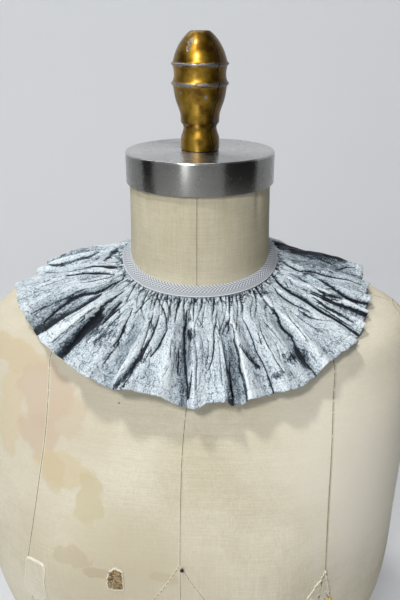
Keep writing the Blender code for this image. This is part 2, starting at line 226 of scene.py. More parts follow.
class Patterned(Finish):
    """A finish whose colour and relief follow patterns over the piece."""

    def __init__(self, name, color, roughness, **own):
        super().__init__(name, color, roughness, **own)
        self.place = self.node("TexCoord").outputs["Object"]

    def node(self, kind, **values):
        """A node with its settings, and its inputs by name with _ for a space."""
        node = self.material.node_tree.nodes.new("ShaderNode" + kind)
        for key, value in values.items():
            if hasattr(node, key):
                setattr(node, key, value)
            else:
                self.feed(node.inputs[key.replace("_", " ")], value)
        return node

    def along(self, axis, of=None):
        """One coordinate of a point on the piece."""
        return self.node("SeparateXYZ", Vector=self.place if of is None else of).outputs[axis]

    def painted(self, name):
        """A value kept on the piece's own points."""
        return self.node("Attribute", attribute_name=name).outputs["Fac"]

    def noise(self, scale, detail=2.0, rough=0.5, on=None):
        """Noise over the piece; three scales stretch it."""
        on = self.place if on is None else on
        if isinstance(scale, tuple):
            on, scale = self.node("Mapping", Vector=on, Scale=scale).outputs[0], 1.0
        return self.node("TexNoise", Vector=on, Scale=scale, Detail=detail,
                         Roughness=rough).outputs["Fac"]

    def reach(self, middle, size=(1.0, 1.0, 1.0)):
        """How far a point is from a middle, in shares of a size along each axis."""
        shifted = self.node("Mapping", Vector=self.place, Scale=[1 / s for s in size],
                            Location=[-m / s for m, s in zip(middle, size)])
        return self.node("VectorMath", operation="LENGTH",
                         Vector=shifted.outputs[0]).outputs["Value"]

    def maths(self, operation, first, second=0.0):
        node = self.node("Math", operation=operation)
        self.feed(node.inputs[0], first)
        self.feed(node.inputs[1], second)
        return node.outputs[0]

    def times(self, first, second):
        return self.maths("MULTIPLY", first, second)

    def plus(self, first, second, weight=1.0):
        return self.maths("ADD", first, second if weight == 1.0 else self.times(second, weight))

    def apart(self, first, second):
        """How far one value is from another."""
        return self.maths("ABSOLUTE", self.maths("SUBTRACT", first, second))

    def fade(self, value, none_at, full_at, eased=False):
        """0 at one value, 1 at another, straight or eased between and level beyond."""
        (low, to_low), (high, to_high) = sorted(((none_at, 0.0), (full_at, 1.0)))
        return self.node("MapRange", interpolation_type="SMOOTHSTEP" if eased else "LINEAR",
                         Value=value, From_Min=low, From_Max=high, To_Min=to_low,
                         To_Max=to_high).outputs["Result"]

    def ramp(self, value, *stops):
        """A colour that follows a value through stops, each a value and its colour."""
        node = self.node("ValToRGB", Fac=value)
        elements = node.color_ramp.elements
        elements.remove(elements[1])
        for k, (where, color) in enumerate(stops):
            stop = elements.new(where) if k else elements[0]
            stop.position = where
            stop.color = (*color, 1.0)
        return node.outputs["Color"]

    def mix(self, share, first, second, blend="MIX"):
        node = self.node("Mix", data_type="RGBA", blend_type=blend)
        for k, value in ((0, share), (6, first), (7, second)):
            self.feed(node.inputs[k], value)
        return node.outputs[2]

    def color(self, value):
        self.feed(self.shader["Base Color"], value)

    def bump(self, height, strength, distance):
        """Relief from a height; the distance is in millimetres."""
        self.feed(self.shader["Normal"], self.node(
            "Bump", Height=height, Strength=strength, Distance=distance * MM).outputs["Normal"])


def fit(piece, finish, stands_for=None):
    """Put its finish on a piece and fix it to the form, in place of a CAD node if it has one."""
    finish.cover(piece)
    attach(piece, "root")
    if stands_for:
        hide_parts(stands_for)


def linen(name, light, dark):
    """Plain-woven canvas: a mottled age tone, crossing threads and thick slubs. Gives the finish
    and its colour so far."""
    finish = Patterned(name, light, 0.88)
    color = finish.mix(finish.fade(finish.noise(14.0, 6.0, 0.62), 0.66, 0.38), dark, light)
    fine = 1.0 / (THREAD_PITCH * MM)
    threads = [finish.noise(scale, 2.0, 0.6)
               for scale in ((fine, fine, 150.0), (150.0, 150.0, fine))]
    weave = finish.times(finish.plus(*threads), 0.5)
    shades = finish.ramp(weave, (0.36, (0.86, 0.85, 0.83)), (0.64, (1.05, 1.05, 1.05)))
    color = finish.mix(0.85, color, shades, "MULTIPLY")
    for scale in ((900.0, 900.0, 22.0), (22.0, 22.0, 1000.0)):
        slubs = finish.ramp(finish.noise(scale, 1.0), (0.34, (0.86, 0.845, 0.80)),
                            (0.66, (1.06, 1.065, 1.08)))
        color = finish.mix(0.3, color, slubs, "MULTIPLY")
    finish.bump(weave, 0.45, 0.5)
    return finish, color


def neck_painted_shade(finish, color):
    """The neck's canvas is painted greyer than the rest, as painted shade on the upright neck."""
    at_neck = finish.fade(finish.along("Z"), CAP_TOP - NECK_SHADE_FROM * MM, CAP_TOP - NECK_SHADE_TO * MM)
    return finish.mix(at_neck, color, NECK_SHADE_TINT, "MULTIPLY")


canvas_body = bpy.data.objects.new("canvas_body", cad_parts["form_body"].data.copy())
bpy.context.scene.collection.objects.link(canvas_body)
canvas_body.data.materials.clear()
pick(canvas_body)
bpy.ops.object.mode_set(mode="EDIT")
bpy.ops.mesh.select_all(action="SELECT")
bpy.ops.mesh.remove_doubles(threshold=MERGE_WITHIN * MM)
bpy.ops.mesh.tris_convert_to_quads(face_threshold=math.radians(FLAT_WITHIN),
                                   shape_threshold=math.radians(FLAT_WITHIN))
bpy.ops.object.mode_set(mode="OBJECT")
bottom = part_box("form_body")[0].z + BOTTOM_WITHIN * MM
crease = canvas_body.data.attributes.new("crease_edge", "FLOAT", "EDGE")
for edge in canvas_body.data.edges:
    heights = [canvas_body.data.vertices[v].co.z for v in edge.vertices]
    crease.data[edge.index].value = float(max(heights) < bottom)
shape_with(canvas_body, "SUBSURF", levels=BODY_DETAIL, render_levels=BODY_DETAIL)
bpy.ops.object.shade_smooth()

# each mark: where its middle is across, ahead and up from the cap's top, how wide, deep and tall
# it is, how ragged its edge is, its colour and its strength
# broad washes of painted light and shade: darker on the left side and low on the chest front,
# lighter on the right
BROAD_LIGHT_AND_SHADE = (
    (-132, -65, -190, 105, 160, 110, 12.0, (0.59, 0.54, 0.425), 0.74),
    (-45, -145, -315, 80, 130, 62, 12.0, (0.57, 0.50, 0.36), 0.8),
    (160, -80, -268, 80, 150, 85, 12.0, (0.90, 0.85, 0.73), 0.95),
    (125, -75, -200, 80, 150, 110, 12.0, (0.84, 0.79, 0.66), 0.6),
)
STAINS = (
    (-152, -70, -160, 60, 90, 22, 40.0, (0.57, 0.45, 0.27), 0.55),
    (-150, -88, -205, 26, 90, 66, 42.0, (0.59, 0.48, 0.30), 0.50),
    (-119, -95, -184, 44, 90, 44, 26.0, (0.56, 0.44, 0.33), 0.70),
    (-122, -100, -214, 34, 90, 40, 34.0, (0.56, 0.44, 0.32), 0.68),
    (-98, -104, -192, 30, 90, 30, 46.0, (0.57, 0.46, 0.33), 0.5),
    (-96, -120, -234, 46, 90, 26, 44.0, (0.60, 0.50, 0.30), 0.55),
    (-75, -130, -252, 20, 90, 40, 50.0, (0.55, 0.48, 0.29), 0.6),
    (-108, -118, -236, 22, 90, 30, 50.0, (0.57, 0.47, 0.29), 0.5),
    (-92, -140, -303, 30, 90, 17, 90.0, (0.42, 0.33, 0.20), 0.3),
    (-70, -145, -314, 22, 90, 10, 110.0, (0.42, 0.33, 0.20), 0.42),
    (-14, -148, -315, 22, 90, 10, 90.0, (0.50, 0.41, 0.26), 0.4),
    (-53.4, -112, -177.4, 1.7, 40, 1.4, 90.0, (0.16, 0.11, 0.06), 0.7),
)
canvas, color = linen("linen_canvas", CANVAS_LIGHT, CANVAS_DARK)
for marks, full_within, none_beyond in ((BROAD_LIGHT_AND_SHADE, 0.6, 1.9), (STAINS, 0.95, 1.1)):
    for across, ahead, up, wide, deep, tall, ragged, tint, strength in marks:
        middle = (NECK_X + across * MM, NECK_Y + ahead * MM, CAP_TOP + up * MM)
        spread = canvas.plus(canvas.reach(middle, (wide * MM, deep * MM, tall * MM)),
                             canvas.noise(ragged, 4.0, 0.55))
        share = canvas.fade(spread, none_beyond, full_within, True)
        color = canvas.mix(canvas.times(share, strength), color, tint)
canvas.color(neck_painted_shade(canvas, color))
fit(canvas_body, canvas, "form_body")

# ------------------------------------------------------------------ seams of the canvas
# Each seam is two turned edges of canvas drawn together, so a fine dark line runs between two
# low welts. The panels meet at the centre front and back, over each bust, along the shoulders
# and round the armholes, and a gusset opens under the bust.
FRONT_SEAMS = {
    "neck_front": ((2.8, -27), (2.7, -60), (2.7, -99)),
    "centre_front": ((1.5, -138), (0.7, -166), (-0.6, -180), (-2.3, -207), (-2.9, -247),
                     (-3, -302), (-3, -360), (-2, -430), (-1, -520), (-1, -610), (-1, -696)),
    "left_front": ((-104, -131), (-114, -152), (-114, -177), (-114.4, -202), (-119.6, -243),
                   (-126.2, -283), (-132.5, -313), (-137, -332), (-139, -380), (-130, -430),
                   (-118, -480), (-114, -520), (-118, -600), (-124, -696)),
    "right_front": ((103, -131), (113, -152), (113, -177), (113, -214), (112.7, -270),
                    (113.3, -306), (114, -330), (116, -380), (108, -430), (98, -480),
                    (95, -520), (104, -600), (110, -696)),
    "left_gusset": ((-3, -302), (-12.9, -320), (-23.9, -338), (-40, -368), (-56, -410)),
    "right_gusset": ((-3, -302), (5.7, -318), (15.4, -334), (31, -366), (48, -410)),
}
BACK_SEAMS = {
    "centre_back": ((0, -103), (0, -160), (-4, -260), (-8, -400), (-8, -560), (-8, -696)),
    "left_back": ((-92, -150), (-98, -220), (-104, -300), (-96, -420), (-84, -520), (-98, -696)),
    "right_back": ((90, -150), (92, -220), (92, -300), (80, -420), (66, -520), (82, -696)),
}
SHOULDER = ((68, 4), (110, 6), (150, 8), (178, 9))
ARMHOLE = [(8 + 52 * math.cos(a), -205 + 72 * math.sin(a))
           for a in (math.radians(d) for d in range(0, 361, 20))]
SEAM_STEP = 2.5
RAY_START = 500.0
WELT_SECTION = ((-1.0, -0.4), (-0.75, 0.45), (-0.42, 1.0), (-0.2, 0.7), (-0.12, 0.1), (0.12, 0.1),
                (0.2, 0.7), (0.42, 1.0), (0.75, 0.45), (1.0, -0.4), (0.0, -2.4))
AHEAD = Vector((0, 1, 0))
body_tree = BVHTree.FromObject(canvas_body, bpy.context.evaluated_depsgraph_get())


def cubic(t, first, last, slope_in, slope_out, width=1.0):
    """A curve from first to last as t goes from 0 to 1 over a width, with its slopes at both
    ends."""
    return ((2 * t**3 - 3 * t**2 + 1) * first + (t**3 - 2 * t**2 + t) * slope_in * width
            + (3 * t**2 - 2 * t**3) * last + (t**3 - t**2) * slope_out * width)


def smooth_path(points, step):
    """A smooth line through a few points, as one point every step."""
    points = np.array(points, float)
    reach = np.concatenate([[0.0], np.cumsum(np.linalg.norm(np.diff(points, axis=0), axis=1))])
    slopes = np.gradient(points, reach, axis=0)
    places = np.linspace(0.0, reach[-1], max(int(reach[-1] / step), 2) + 1)
    i = np.clip(np.searchsorted(reach, places, side="right") - 1, 0, len(points) - 2)
    width = (reach[i + 1] - reach[i])[:, None]
    return cubic((places - reach[i])[:, None] / width, points[i], points[i + 1],
                 slopes[i], slopes[i + 1], width)


def laid_on_body(flat_points, towards=AHEAD):
    """Places on the canvas under flat points, in millimetres from the neck's axis and the cap's
    top, seen along a direction; with the way the canvas faces there."""
    laid = []
    for across, up in flat_points:
        offset = (across, up, 0) if towards.z else (0, across, up) if towards.x else (across, 0, up)
        flat = Vector([at + by * MM for at, by in zip((NECK_X, NECK_Y, CAP_TOP), offset)])
        hit, facing, _, _ = body_tree.ray_cast(flat - towards * (RAY_START * MM), towards)
        if hit is not None:
            laid.append((hit, facing))
    return laid


def skin(name, tubes, marks=None, both_ends=True, smooth=True):
    """A piece skinned over tubes, each a row of rings of points, with a mark for each point."""
    mesh = bmesh.new()
    for tube in tubes:
        rings = [[mesh.verts.new(point) for point in ring] for ring in tube]
        for here, after in zip(rings, rings[1:]):
            count = min(len(here), len(after))
            for j in range(count):
                beside = (j + 1) % count
                mesh.faces.new((here[j], here[beside], after[beside], after[j]))
        for ring in (rings[0], rings[-1])[:1 + both_ends]:
            mesh.faces.new(ring)
    bmesh.ops.recalc_face_normals(mesh, faces=mesh.faces)
    data = bpy.data.meshes.new(name)
    mesh.to_mesh(data)
    mesh.free()
    if marks:
        data.attributes.new("mark", "FLOAT", "POINT").data.foreach_set("value", marks)
    if smooth:
        data.shade_smooth()
    piece = bpy.data.objects.new(name, data)
    bpy.context.scene.collection.objects.link(piece)
    return piece


seam_canvas, color = linen("seam_canvas", CANVAS_LIGHT, CANVAS_DARK)
# the seams carry the neck's painted shade too
seam_canvas.color(seam_canvas.mix(seam_canvas.painted("mark"), neck_painted_shade(seam_canvas, color),
                                  (0.11, 0.085, 0.05)))
seam_lines = {}
for seams, towards in ((FRONT_SEAMS, AHEAD), (BACK_SEAMS, -AHEAD)):
    for name, flat_points in seams.items():
        seam_lines[name] = laid_on_body(smooth_path(flat_points, SEAM_STEP), towards)
for name, side in (("left", -1), ("right", 1)):
    seam_lines[name + "_shoulder"] = laid_on_body(
        smooth_path([(side * x, y) for x, y in SHOULDER], SEAM_STEP), Vector((0, 0, -1)))
    seam_lines[name + "_armhole"] = laid_on_body(smooth_path(ARMHOLE, SEAM_STEP),
                                                 Vector((-side, 0, 0)))
groove = [float(abs(out_by) < 0.15 and up_by > 0) for out_by, up_by in WELT_SECTION]
for name, laid in seam_lines.items():
    fine = "gusset" in name or "neck" in name or "centre" in name
    half_width, high = (1.3, 0.12) if fine else (1.5, 0.17)
    rings = []
    for before, (place, facing), after in zip(laid[:1] + laid, laid, laid[1:] + laid[-1:]):
        side = (after[0] - before[0]).cross(facing).normalized()
        rings.append([place + (side * out_by * half_width + facing * up_by * high) * MM
                      for out_by, up_by in WELT_SECTION])
    fit(skin("seam_" + name, [rings], groove * len(rings)), seam_canvas)

# ------------------------------------------------------------------ stitches in the canvas
# Waxed thread stitches show on the outside along the bust seams and the gusset, pale on the
# gusset and darkened with handling on the long seams.
random.seed(7)


def ring_round(middle, side, facing, radius, corners):
    """A small ring of points; its radius is in millimetres."""
    turns = [2 * math.pi * k / corners for k in range(corners)]
    return [middle + (side * math.cos(a) + facing * math.sin(a)) * radius * MM for a in turns]


def thread(name, light, dark):
    """Twisted thread with a mottled tone."""
    finish = Patterned(name, light, 0.7)
    finish.color(finish.mix(finish.noise(1600.0), dark, light))
    return finish


pale_thread = thread("pale_thread", (0.86, 0.82, 0.68), (0.58, 0.52, 0.38))
dull_thread = thread("dull_thread", (0.36, 0.29, 0.19), (0.20, 0.15, 0.09))
# each row: its seam, how far along it goes, the stitches' pitch, length and thickness, their
# slant, how far beside the seam they lie, and their thread
for name, last, pitch, long, thick, slant, beside, kind in (
        ("left_front", 1.0, 2.4, 1.3, 0.16, 0.5, 0.0, dull_thread),
        ("right_front", 1.0, 2.4, 1.3, 0.16, 0.5, 0.0, dull_thread),
        ("left_gusset", 1.0, 3.2, 2.2, 0.3, 0.7, 0.7, pale_thread),
        ("right_gusset", 1.0, 3.2, 2.2, 0.3, 0.7, -0.7, pale_thread),
        ("centre_front", 0.3, 4.5, 1.4, 0.14, 0.2, 0.0, dull_thread)):
    laid, tubes, travelled = seam_lines[name], [], 0.0
    for k in range(1, min(len(laid) - 1, int(last * len(laid)) + 1)):
        travelled += (laid[k][0] - laid[k - 1][0]).length / MM
        if travelled < pitch:
            continue
        travelled = 0.0
        place, facing = laid[k]
        ahead = (laid[k + 1][0] - laid[k - 1][0]).normalized()
        side = ahead.cross(facing).normalized()
        turn = slant + random.uniform(-0.2, 0.2)
        ahead = (ahead * math.cos(turn) + side * math.sin(turn)).normalized()
        side = ahead.cross(facing).normalized()
        middle = place + side * beside * MM
        tubes.append([ring_round(middle + (ahead * at * long + facing * up_by * thick) * MM,
                                 side, facing, thick, 6)
                      for at, up_by in ((-0.5, 0.0), (-0.25, 0.8), (0.25, 0.8), (0.5, 0.0))])
    fit(skin("stitches_" + name, tubes), kind)

# ------------------------------------------------------------------ patch and tears
# The canvas is worn through over the bust. A patch of the same cloth is sewn on at one side,
# the other side has a torn flap, and the stuffing shows at one hole with frayed threads.
SCRAP_RINGS = (0.0, 0.3, 0.55, 0.75, 0.88, 0.96, 1.0)
SCRAP_STEP, SCRAP_THICK, FRAY_THICK = 1.2, 0.3, 0.14


def scrap(name, outline, lifts, ragged, finish, seed):
    """A small piece of cloth on the body: rings from its middle out to a ragged outline, each
    lifted off the canvas by its own amount."""
    rng = np.random.default_rng(seed)
    closed = smooth_path(list(outline) + [outline[0]], SCRAP_STEP)[:-1]
    middle = closed.mean(axis=0)
    closed = closed + rng.normal(0.0, ragged, closed.shape)
    rings, marks = [], []
    for out_by, lift in zip(SCRAP_RINGS, lifts):
        ring = []
        for place, facing in laid_on_body(middle + (closed - middle) * max(out_by, 0.02)):
            up_by = lift + (rng.uniform(-0.25, 0.35) * ragged if out_by > 0.5 else 0.0)
            ring.append(place + facing * up_by * MM)
        rings.append(ring)
        marks += [out_by] * len(ring)
    piece = skin(name, [rings], marks, both_ends=False)
    shape_with(piece, "SOLIDIFY", thickness=SCRAP_THICK * MM, offset=-1.0)
    piece.data.shade_smooth()
    fit(piece, finish)


patch_canvas, color = linen("patch_canvas", (0.78, 0.74, 0.62), (0.66, 0.61, 0.48))
at_rim = patch_canvas.fade(patch_canvas.painted("mark"), 0.86, 0.97)
patch_canvas.color(patch_canvas.mix(at_rim, color, (0.84, 0.80, 0.68)))
scrap("bust_patch", ((-136, -321), (-119.5, -320), (-120.5, -345), (-124, -368), (-133, -374),
                     (-143, -372), (-141.5, -345)),
      (0.5, 0.5, 0.5, 0.55, 0.7, 0.8, 0.0), 0.18, patch_canvas, 3)
scrap("torn_flap", ((113.8, -317), (116.5, -330), (117.5, -350), (108, -347), (100, -341),
                    (104, -334), (109, -325)),
      (0.3, 0.3, 0.35, 0.5, 0.9, 1.0, 0.1), 0.55, patch_canvas, 4)

stuffing = Patterned("stuffing_fibre", (0.24, 0.15, 0.07), 0.9)
tufts = stuffing.noise(420.0, 5.0, 0.7)
color = stuffing.ramp(tufts, (0.36, (0.05, 0.03, 0.015)), (0.64, (0.46, 0.33, 0.15)))
at_rim = stuffing.fade(stuffing.painted("mark"), 0.80, 0.9)
stuffing.color(stuffing.mix(at_rim, color, (0.80, 0.75, 0.61)))
stuffing.bump(tufts, 0.9, 0.8)
scrap("worn_hole", ((-61, -311), (-55, -307.5), (-49.8, -310), (-48.6, -320), (-50.5, -331),
                    (-56, -331.5), (-62, -330), (-62.5, -320)),
      (0.25, 0.25, 0.3, 0.25, 0.9, 0.7, 0.0), 0.5, stuffing, 5)

# frayed threads standing out of the cloth: their middle and spread, count, length and seed
for name, middle, spread, count, long, seed in (
        ("frayed_flap", (107, -333), (3.0, 7.0), 46, 4.0, 8),
        ("frayed_patch", (-121, -344), (0.7, 13.0), 34, 2.6, 9),
        ("frayed_hole", (-55, -319), (5.5, 8.5), 34, 3.0, 10),
        ("frayed_side", (176, -292), (1.5, 9.0), 26, 3.2, 12)):
    rng = np.random.default_rng(seed)
    tubes = []
    for place, facing in laid_on_body(np.array(middle)
                                      + rng.normal(0.0, 1.0, (count, 2)) * np.array(spread)):
        heading = Vector(rng.normal(0.0, 1.0, 3)).cross(facing).normalized()
        size = long * rng.uniform(0.5, 1.2)
        side = heading.cross(facing).normalized()
        tubes.append([ring_round(place + (heading * size * t + facing * (
            0.2 + size * 0.35 * math.sin(math.pi * t * 0.8))) * MM, side, facing, FRAY_THICK, 4)
                      for t in (0.0, 1 / 3, 2 / 3, 1.0)])
    fit(skin(name, tubes, smooth=False), pale_thread)

# ------------------------------------------------------------------ base board
# The form is closed underneath by a plywood board, sawn to the canvas's outline, its plies
# showing as fine bands round the edge.
plywood = Patterned("plywood", (0.45, 0.31, 0.18), 0.62)
plies = plywood.node("TexWave", bands_direction="Z", Vector=plywood.place, Scale=95.0,
                     Distortion=1.5, Detail=2.0).outputs["Fac"]
plywood.color(plywood.mix(plies, (0.30, 0.19, 0.10), (0.52, 0.38, 0.23)))
plywood.cover(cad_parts["form_base_board"])

# ------------------------------------------------------------------ neck cap
# A spun steel cup turned over the top of the neck, brushed round its rim, with its lower edge
# rolled in against the canvas.
CAP_STEPS = 128
CAP_RADIUS = (cap_high.x - cap_low.x) / 2 / MM
CAP_TALL = (cap_high.z - cap_low.z) / MM
CAP_WALL = 1.2
CAP_ROUNDING = 1.7
top_face = [(0.0, 2.0), (0.0, 20.0), (0.0, 40.0)]
rounding = [(-CAP_ROUNDING * (1 - math.sin(a)), CAP_RADIUS - CAP_ROUNDING * (1 - math.cos(a)))
            for a in (math.radians(d) for d in range(90, -1, -15))]
rolled = [(up - CAP_TALL, CAP_RADIUS - inwards) for up, inwards in (
    (1.3, 0.0), (0.5, 0.25), (0.0, 1.0), (0.5, 1.8), (2.0, 1.4), (CAP_TALL - CAP_WALL, CAP_WALL))]
steel_cap = turned("steel_cap", top_face + rounding + rolled, CAP_STEPS)

steel = Patterned("brushed_cap_steel", (0.56, 0.56, 0.55), 0.30, Metallic=1.0, Anisotropic=0.8,
               Anisotropic_Rotation=0.25)
brushing = steel.noise((3.0, 3.0, 2600.0), 3.0, 0.7)
smudges = steel.fade(steel.noise(55.0, 5.0, 0.6), 0.3, 0.75)
steel.feed(steel.shader["Roughness"], steel.plus(0.22, smudges, 0.10))
color = steel.mix(brushing, (0.37, 0.37, 0.36), (0.64, 0.64, 0.63))
# painted shade: the cap's side is coloured darker than its top, to darken its reflections
side_painted_darker = steel.fade(steel.along("Z"), CAP_TOP - 1.0 * MM, CAP_TOP - 1.8 * MM)
steel.color(steel.mix(side_painted_darker, color, (0.52, 0.52, 0.50), "MULTIPLY"))
steel.bump(brushing, 0.12, 0.06)
steel.feed(steel.shader["Tangent"],
           steel.node("Tangent", direction_type="RADIAL", axis="Z").outputs["Tangent"])
fit(steel_cap, steel, "form_cap")

# ------------------------------------------------------------------ finial
# A turned knob screwed to the cap, cast in grey metal and gold-painted. The paint is chipped
# along its two raised rims and cracked near its foot.
FINIAL_ROWS = (
    (0.3, 14.9), (0.5, 15.5), (1.2, 15.8), (9.0, 15.8), (10.6, 15.7), (13.3, 14.7), (16.0, 13.8),
    (18.1, 13.4), (20.0, 13.9), (21.4, 14.9), (22.2, 15.6), (23.0, 15.7), (27.5, 15.8),
    (30.0, 16.3), (33.1, 17.4), (36.5, 18.7), (39.3, 19.6), (43.5, 20.6), (47.0, 21.2),
    (50.3, 21.6), (51.3, 22.4), (52.0, 23.2), (53.0, 23.2), (53.7, 22.4), (54.6, 21.7),
    (57.0, 21.0), (60.1, 20.8), (63.5, 21.3), (65.4, 21.7), (66.4, 22.5), (67.0, 23.2),
    (67.9, 23.2), (68.4, 22.3), (69.3, 21.6), (71.3, 21.1), (74.5, 20.1), (77.6, 18.9),
    (81.0, 17.1), (84.6, 14.8), (88.0, 12.0), (90.3, 9.6), (91.5, 7.9), (91.8, 6.6), (91.8, 2.0),
)
# each chip: its angle from the front, height and radius in millimetres, and how far it reaches
CHIPS = (
    (-24, 84.5, 14.4, 2.3), (-25, 79, 17.5, 2.2), (-24, 81.5, 16.2, 1.5), (66, 1.5, 15.8, 2.6),
    (52, 25, 15.7, 2.9), (-40, 46, 21.0, 1.4), (18, 43, 20.5, 1.1), (-60, 12, 14.8, 1.6),
    (150, 60, 21.0, 2.6), (-120, 34, 17.8, 2.2),
)
RIMS, RIM_REACH = (52.5, 67.4), 2.6
SHADE_TURN, CRACK_TURN = 1.45, 0.80

gold = Patterned("worn_gold_paint", (0.3, 0.19, 0.04), 0.38, Metallic=0.95, Coat_Weight=0.25,
              Coat_Roughness=0.16)
patches = gold.noise(70.0, 6.0, 0.62)
ragged = gold.noise(240.0, 4.0, 0.6)
bare = 0.0
for rim in RIMS:
    apart = gold.apart(gold.along("Z"), CAP_TOP + rim * MM)
    bare = gold.maths("MAXIMUM", bare, gold.times(gold.fade(apart, RIM_REACH * MM, 0.0), 0.40))
for angle, up, out_by, reach in CHIPS:
    close_by = gold.fade(gold.reach(around(angle, out_by, up)), reach * 1.7 * MM, 0.0)
    bare = gold.maths("MAXIMUM", bare, gold.times(close_by, 0.5))
bare = gold.fade(gold.plus(bare, ragged), 0.72, 0.78)
color = gold.ramp(patches, (0.35, (0.115, 0.057, 0.003)), (0.62, (0.40, 0.24, 0.024)))
color = gold.mix(bare, color, (0.28, 0.28, 0.31))
turned_by = gold.maths("ARCTAN2", gold.maths("SUBTRACT", gold.along("X"), NECK_X),
                       gold.maths("SUBTRACT", NECK_Y, gold.along("Y")))
# painted shade: the finial's right side, away from the lights, is coloured darker
right_side_shade = gold.fade(gold.apart(turned_by, SHADE_TURN), 1.15, 0.45)
color = gold.mix(right_side_shade, color, (0.36, 0.32, 0.30), "MULTIPLY")
drift = gold.times(gold.plus(patches, -0.5), 0.5)
crack = gold.fade(gold.apart(gold.plus(turned_by, drift), CRACK_TURN), 0.05, 0.015)
crack = gold.times(crack, gold.fade(ragged, 0.36, 0.46))
gold.color(gold.mix(crack, color, (0.02, 0.012, 0.004)))
gold.bump(gold.maths("SUBTRACT", patches, gold.plus(bare, crack)), 0.5, 0.4)
fit(turned("gold_finial", FINIAL_ROWS, 48, 2), gold, "form_finial")

# ------------------------------------------------------------------ pins
# Dressmaker's pins pushed into the canvas to their heads: a small glass ball on a steel pin,
# one black at the gusset's point and one yellow under the torn flap.
PIN_BALL = 1.5
PIN_HEAD = [(0.0, 0.35), (0.5, 0.4), (0.7, 0.85)]
PIN_HEAD += [(1.0 + PIN_BALL * (1 - math.cos(a)), max(PIN_BALL * math.sin(a), 0.1))
             for a in (math.radians(d) for d in range(40, 171, 26))]
for name, spot, tint in (("black_pin", (-1.2, -305), (0.012, 0.012, 0.014)),
                         ("yellow_pin", (118.5, -351), (0.45, 0.27, 0.03))):
    place, facing = laid_on_body([spot])[0]
    pin = turned(name, PIN_HEAD, 20, axis=(0, 0, 0), sharp=180)
    pin.rotation_euler = facing.to_track_quat("Z", "Y").to_euler()
    pin.location = place
    bpy.ops.object.transform_apply(location=True, rotation=True, scale=True)
    glass = Patterned(name + "_glass", tint, 0.15)
    glass.color(glass.mix(glass.noise(900.0), tint, [c * 1.6 for c in tint]))
    fit(pin, glass)

# ------------------------------------------------------------------ ruffle
# A strip of crushed silver-blue silk about 1.1 m long and 95 mm deep, its upper edge gathered
# up on threads into the neck tape and its lower edge turned up and hemmed by machine. It is
# stiff with wear: main folds stand up from the shoulders, and sharp creases run between them.
TAPE_WIDTH, TAPE_REACH, TAPE_DROP, TAPE_LEAF = 10.5, 7.8, 7.0, 0.9
TAPE_START = 59.6
BACK_SLIT = 3.6
SEAM_GAP = 0.3
STRIP_WALL = 1.6
HEADING = 3.4
MEAN_DEEP, MEAN_RADIUS = 90.0, 105.0
SLOPE_SPREAD, SLOPE_STEPS = 12.0, 12
FOLD_FULL_AT, FOLD_SWELL = 0.7, 0.8
LEAN_PER_SLOPE = 1.6
CLOTH_THICK, BODY_GAP, BODY_NEAR = 0.35, 0.6, 20.0
HEM_DEEP = 7.6
COLUMNS, HEADING_ROWS = 868, 3
GATHERS, LONG_CREASES, SHORT_CREASES = 132, 170, 420
SHADED_OVER, SHARP_UP_TO, UNTOUCHED = 1.3, 1.8, 9.0
# crumples all over: their width and length, how high they stand, and a seed
CRUMPLES = ((10.0, 26.0, 0.5, 31), (5.0, 13.0, 0.28, 32), (2.6, 5.0, 0.12, 33))

# angle round the neck, the tape's fall from the cap, and the ruffle's slope and length
NECKLINE = (
    (-175, 69.6, 42, 88), (-135, 74.1, 36, 88), (-115, 77.1, 26, 87), (-100, 80.1, 21, 88),
    (-85, 82.6, 17.5, 90), (-75, 85.6, 16, 92), (-60, 90.6, 18, 91.5), (-40, 94.6, 24, 91),
    (-20, 96.6, 31, 92), (5, 97.3, 40, 92), (30, 96.4, 35, 92), (50, 94.2, 26.5, 91),
    (65, 91.6, 21, 89.5), (77, 88.4, 19.5, 86), (87, 85.1, 19.5, 85), (98, 81.6, 19.5, 87.5),
    (112, 78.1, 20, 88), (125, 76.1, 28, 87), (145, 73.6, 36, 88),
)
# each ridge or trough: its angle at the tape and at the hem, its lift, and the hem's rise
FOLDS = (
    (-180, -180, 0, 0),
    (-171, -171, 4, 0), (-162, -163, -5, 0), (-152, -152, 6, 0), (-143, -142, -2.5, 0),
    (-134, -134, 5, 0), (-125, -124, -2.5, 0), (-117, -114, -1, 0), (-111, -109, -2, 0),
    (-105, -103, 9, 0), (-101, -99, -3, 0), (-96, -94, 7, 2), (-91, -89.5, -6, 0),
    (-85, -84.5, 0, 0), (-80, -80.5, 6, -5), (-72, -74, 7, 0), (-64, -66, 5, 0),
    (-57, -61, -8, 0), (-53, -56, -11, 0), (-48.5, -48.8, 5, 0), (-46.5, -45.5, 5, 0),
    (-43.5, -43, -8, 0), (-40, -39.5, -11, 0),
    (-37, -36.3, 5, 0), (-29, -30, 4, 0), (-23, -23.5, -7, 0), (-20, -20.5, 4, 0),
    (-12, -12, 1, 4), (-7, -7, 6, 4.5), (-3, 0.5, -6, 0), (0.5, 3.5, 4, 0),
    (5, 7.5, 2, 4), (11, 13, 5, 4), (14, 14.5, 4, 1), (15.5, 15.7, -7, 0),
    (19.5, 18.5, -7, 0), (21.5, 20, 5, 4), (26.5, 27.5, -3, 2), (31, 32, 4, 0),
    (38, 37, 1, 0), (43, 44, -6, 0), (45, 46, 5, 3), (50, 51, 1, 2),
    (57, 59, 4, 0), (61, 63, -8, 0), (64, 65.5, -6, 0), (66.5, 68, 2, 0),
    (69, 72, -6, 0), (71.5, 75, 3, 0), (75, 79.5, -4, 0), (78, 83, 4, 0),
    (82, 87.5, -2.5, 0), (88, 93, 4, 0), (98, 100, -1, 0), (104, 107, 5, 0),
    (111.5, 112.5, -5, 0), (118, 118, -1, 0), (128, 129, -2, 0), (137, 138, 6, 0),
    (146, 147, -5, 0), (155, 155, 5, 0), (164, 165, -5, 0), (172, 172, 4, 0),
    (180, 180, 0, 0),
)
